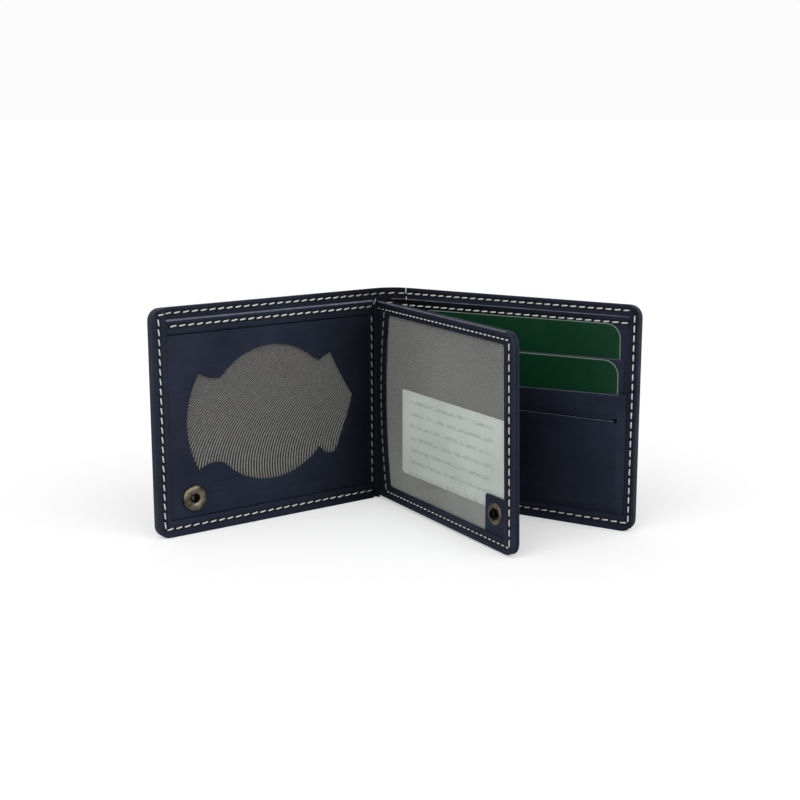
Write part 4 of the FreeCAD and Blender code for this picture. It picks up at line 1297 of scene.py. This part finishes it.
def cut_slot(piece):
    """Cut the outline of a slot with punched ends into a flat blank, and keep the slot's own face."""
    for axis, value in ((Y, SLOT_LINE - SLOT_PATCH_HALF), (Y, SLOT_LINE + SLOT_PATCH_HALF),
                        *((X, value) for value in SLOT_PATCH)):
        score(piece, axis, value)
    patch = [f for f in piece.faces if abs(f.calc_center_median().y - SLOT_LINE) < 1
             and SLOT_PATCH[0] < f.calc_center_median().x < SLOT_PATCH[1]]
    patch_edges = list(patch[0].edges)
    bmesh.ops.delete(piece, geom=patch, context="FACES_ONLY")
    lead = math.sqrt(SLOT_PUNCH ** 2 - SLOT_HALF ** 2)
    before = set(piece.edges)
    for end, way in zip(SLOT_ENDS, (-1, 1)):
        arc_through(piece, (end - way * lead, SLOT_LINE - SLOT_HALF), (end + way * SLOT_PUNCH, SLOT_LINE),
                    (end - way * lead, SLOT_LINE + SLOT_HALF), 14)
    tips = [v for v in piece.verts if len(v.link_edges) == 1]
    for level in (-1, 1):
        piece.edges.new([v for v in tips if (v.co.y - SLOT_LINE) * level > 0])
    slot_edges = [e for e in piece.edges if e not in before]
    bmesh.ops.triangle_fill(piece, use_beauty=True, edges=patch_edges + slot_edges, normal=(0, 0, 1))
    bmesh.ops.contextual_create(piece, geom=slot_edges)


def sink_slot(piece):
    """Sink the slot's face into the thick pocket, paint its walls as dark shade, and paint a pale highlight on its
    lower lip.
    """
    piece.normal_update()
    press(piece, [f for f in piece.faces if f.normal.z > 0.9 and len(f.verts) > 20
                  and f.calc_center_median().z > FRONT_FACE - 0.05], (0, 0, -SLOT_DEPTH))
    for face in piece.faces:
        middle = face.calc_center_median()
        if abs(middle.y - SLOT_LINE) < SLOT_PUNCH + 0.05 and -1.6 < middle.z < FRONT_FACE - 0.01:
            face.material_index = 1
    lip = SLOT_LINE - SLOT_HALF
    round_edges(piece, SLOT_LIP_ROUNDING, 2, lambda e: lies(e, Z, FRONT_FACE - 0.01, FRONT_FACE + 0.01)
                and lies(e, Y, lip - 0.01, lip + 0.01), mark=SLOT_LIP_HIGHLIGHT)
    layer = piece.faces.layers.float["edge"]
    for face in piece.faces:
        if face[layer] > SLOT_LIP_HIGHLIGHT - 0.1:
            face.material_index = 0


piece = start_piece()
cut_blank(piece, FRONT_LEFT, FRONT_RIGHT, FRONT_FOOT, FRONT_MOUTH)
cut_slot(piece)
thicken(piece, POCKET_BACK, FRONT_FACE)
sink_slot(piece)
draw_down(piece, FRONT_FACE, drop=1.9, run=3.0,
          sides=((X, FRONT_RIGHT, -1), (X, FRONT_LEFT, 1), (Y, FRONT_FOOT, 1)))
open_pocket(piece, left=15.4, right=102.2, front=-1.65, mouth=FRONT_MOUTH, depth=42.0)
work_mouth(piece, FRONT_MOUTH, lip=-1.6, rise=1.0)
pocket_front = finish_piece(piece, "pocket_front_leather", card_page, navy_slots, painted_hole_shade)
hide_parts("pocket_front")
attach(pocket_front, "card_leaf")

piece = start_piece()
cut_blank(piece, STRIP_LEFT, STRIP_RIGHT, STRIP_FOOT, STRIP_MOUTH)
thicken(piece, POCKET_BACK, STRIP_FACE)
draw_down(piece, STRIP_FACE, drop=0.9, run=2.0, sides=((X, STRIP_RIGHT, -1), (X, STRIP_LEFT, 1)))
open_pocket(piece, left=15.7, right=101.9, front=-2.85, mouth=STRIP_MOUTH, depth=41.4)
work_mouth(piece, STRIP_MOUTH, lip=-2.7, rise=0.5)
pocket_strip = finish_piece(piece, "pocket_strip_leather", card_page, navy_slots)
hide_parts("pocket_strip")
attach(pocket_strip, "card_leaf")

# Cards: two cards of dark green board with round corners, left bare under a glossy laminate.
# Each card has a pale band round its edge on both faces, and each card stands loose in its slot.
CARD_LEFT = 16.0
CARD_RIGHT = 101.6
CARD_HEIGHT = 54.0
CARD_CORNER = 5.5
CARD_EDGE = 0.24
CARD_TILT = math.radians(0.5)
CARD_RISE = 0.4


def card_material(name, deep, light, gloss):
    """Coloured board under a glossy laminate."""
    material, tree, shader = start_material(name)
    where = object_place(tree)
    set_inputs(tree, shader, {
        "Base Color": mix_tones(tree, cloud(tree, where, scale=120.0, detail=4.0), deep, light),
        "Roughness": spread(tree, cloud(tree, where, scale=900.0, detail=2.0), to=(gloss - 0.05, gloss + 0.1)),
        "Specular IOR Level": 0.3})
    return material


card_green = card_material("card_green", (0.0025, 0.030, 0.011, 1), (0.0045, 0.046, 0.019, 1), gloss=0.32)
card_edge = card_material("card_edge", (0.16, 0.22, 0.17, 1), (0.28, 0.35, 0.29, 1), gloss=0.4)


def cut_card(name, top, back, front):
    """Card with a pale band round its edge, pushed into its slot not quite straight."""
    piece = start_piece()
    cut_blank(piece, CARD_LEFT, CARD_RIGHT, top - CARD_HEIGHT, top, outer=CARD_CORNER, inner=CARD_CORNER)
    thicken(piece, back, front)
    for face in piece.faces:
        face.material_index = 1
    for facing in (1, -1):
        broad = [f for f in piece.faces if f.normal.z * facing > 0.9]
        bmesh.ops.inset_region(piece, faces=broad, thickness=CARD_EDGE, use_even_offset=True)
        for face in broad:
            face.material_index = 0
    bmesh.ops.rotate(piece, verts=piece.verts, cent=((CARD_LEFT + CARD_RIGHT) / 2, top - CARD_HEIGHT / 2, 0),
                     matrix=Matrix.Rotation(CARD_TILT, 3, "Z"))
    bmesh.ops.translate(piece, verts=piece.verts, vec=(0, CARD_RISE, 0))
    return finish_piece(piece, name, card_page, card_green, card_edge)


for name, node, top, back, front in (("upper_card_laminate", "upper_card", 77.2, -3.3, -2.9),
                                     ("lower_card_laminate", "lower_card", 63.8, -2.1, -1.7)):
    card = cut_card(name, top, back, front)
    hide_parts(node)
    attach(card, node)

# Card leaf stitching: the same thread, round the leaf and along the panel's top.
# A last seam goes along the open top to the spine, and bar stitches tie it off there.
CARD_SLANT = math.radians(5)

card_thread = bmesh.new()
sew_leaf(card_thread, CARD_COVER_START, foot_start=CARD_COVER_START, side_seam=CARD_SIDE_SEAM,
         levels=CARD_LEVELS, mouth_angles=(11.4,), slant=CARD_SLANT, side_slant=0.0)
for start, end, line, level in ((7.0, CARD_STRIP - 0.4, PANEL_TOP_SEAM, CARD_PANEL_FACE),
                                (CARD_COVER_START, CARD_STRIP - 0.2, MOUTH_SEAM, CARD_MOUTH)):
    sew_row(card_thread, start, end, line, level, slant=CARD_SLANT)
sew_bar(card_thread, spot=(8.9, 84.0, -4.42), angle=88)
sew_bar(card_thread, spot=(9.7, 81.1, -3.5), angle=95, size=(0.55, 0.8, 0.8))
card_stitching = finish_piece(card_thread, "card_leaf_thread", card_page, off_white, painted_hole_shade)
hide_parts("card_stitching")
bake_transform(card_stitching, "card_leaf", "id_flap", *card_spine)

# Studio: a plain white floor that keeps the wallet's soft shadow, in a white surround.
# Two broad softboxes light it from above, and the camera stands where the picture was taken from.
FLOOR_RADIUS = 30.0
FLOOR_GLOW = 0.36
SURROUND_STRENGTH = (0.46, 0.97)
CAMERA_PLACE = (0.001063, -0.513772, 0.1533)
CAMERA_DOWN = 11.59
CAMERA_LENS = 63.0
CAMERA_SENSOR = 36.0

floor_disc = bmesh.new()
bmesh.ops.create_circle(floor_disc, cap_ends=True, segments=64, radius=FLOOR_RADIUS)
floor = bpy.data.objects.new("studio_floor", keep_shape(floor_disc, "studio_floor"))
bpy.context.scene.collection.objects.link(floor)
floor_white, tree, shader = start_material("floor_white")
seen = add_node(tree, "ShaderNodeLightPath", {}).outputs["Is Camera Ray"]
set_inputs(tree, shader, {
    "Base Color": (0.86, 0.86, 0.87, 1), "Roughness": 0.9, "Specular IOR Level": 0.0,
    "Emission Color": (1.0, 1.0, 1.0, 1), "Emission Strength": reckon(tree, "MULTIPLY", seen, FLOOR_GLOW)})
floor.data.materials.append(floor_white)

world = bpy.data.worlds.new("white_surround")
bpy.context.scene.world = world
world.use_nodes = True
tree = world.node_tree
tree.nodes.clear()
ways = add_node(tree, "ShaderNodeLightPath", {}).outputs
direct = reckon(tree, "MAXIMUM", ways["Is Camera Ray"], ways["Is Transmission Ray"])
plain = reckon(tree, "MAXIMUM", direct, ways["Is Glossy Ray"])
surround = add_node(tree, "ShaderNodeBackground", {"Color": (1, 1, 1, 1),
                                                   "Strength": spread(tree, plain, to=SURROUND_STRENGTH)})
add_node(tree, "ShaderNodeOutputWorld", {0: surround.outputs[0]})

for name, power, softness, tilt, round_turn in (("key_softbox", 0.95, 50, 52, -35),
                                                ("fill_softbox", 0.85, 60, 58, 48)):
    lamp = bpy.data.lights.new(name, "SUN")
    lamp.energy = power
    lamp.angle = math.radians(softness)
    softbox = bpy.data.objects.new(name, lamp)
    softbox.rotation_euler = (math.radians(tilt), 0, math.radians(round_turn))
    bpy.context.scene.collection.objects.link(softbox)

lens = bpy.data.cameras.new("photo_camera")
lens.lens = CAMERA_LENS
lens.sensor_width = CAMERA_SENSOR
lens.sensor_fit = "HORIZONTAL"
camera = bpy.data.objects.new("photo_camera", lens)
camera.location = CAMERA_PLACE
camera.rotation_euler = (math.radians(90 - CAMERA_DOWN), 0, 0)
bpy.context.scene.collection.objects.link(camera)
bpy.context.scene.camera = camera
bpy.context.scene.view_settings.view_transform = "Standard"
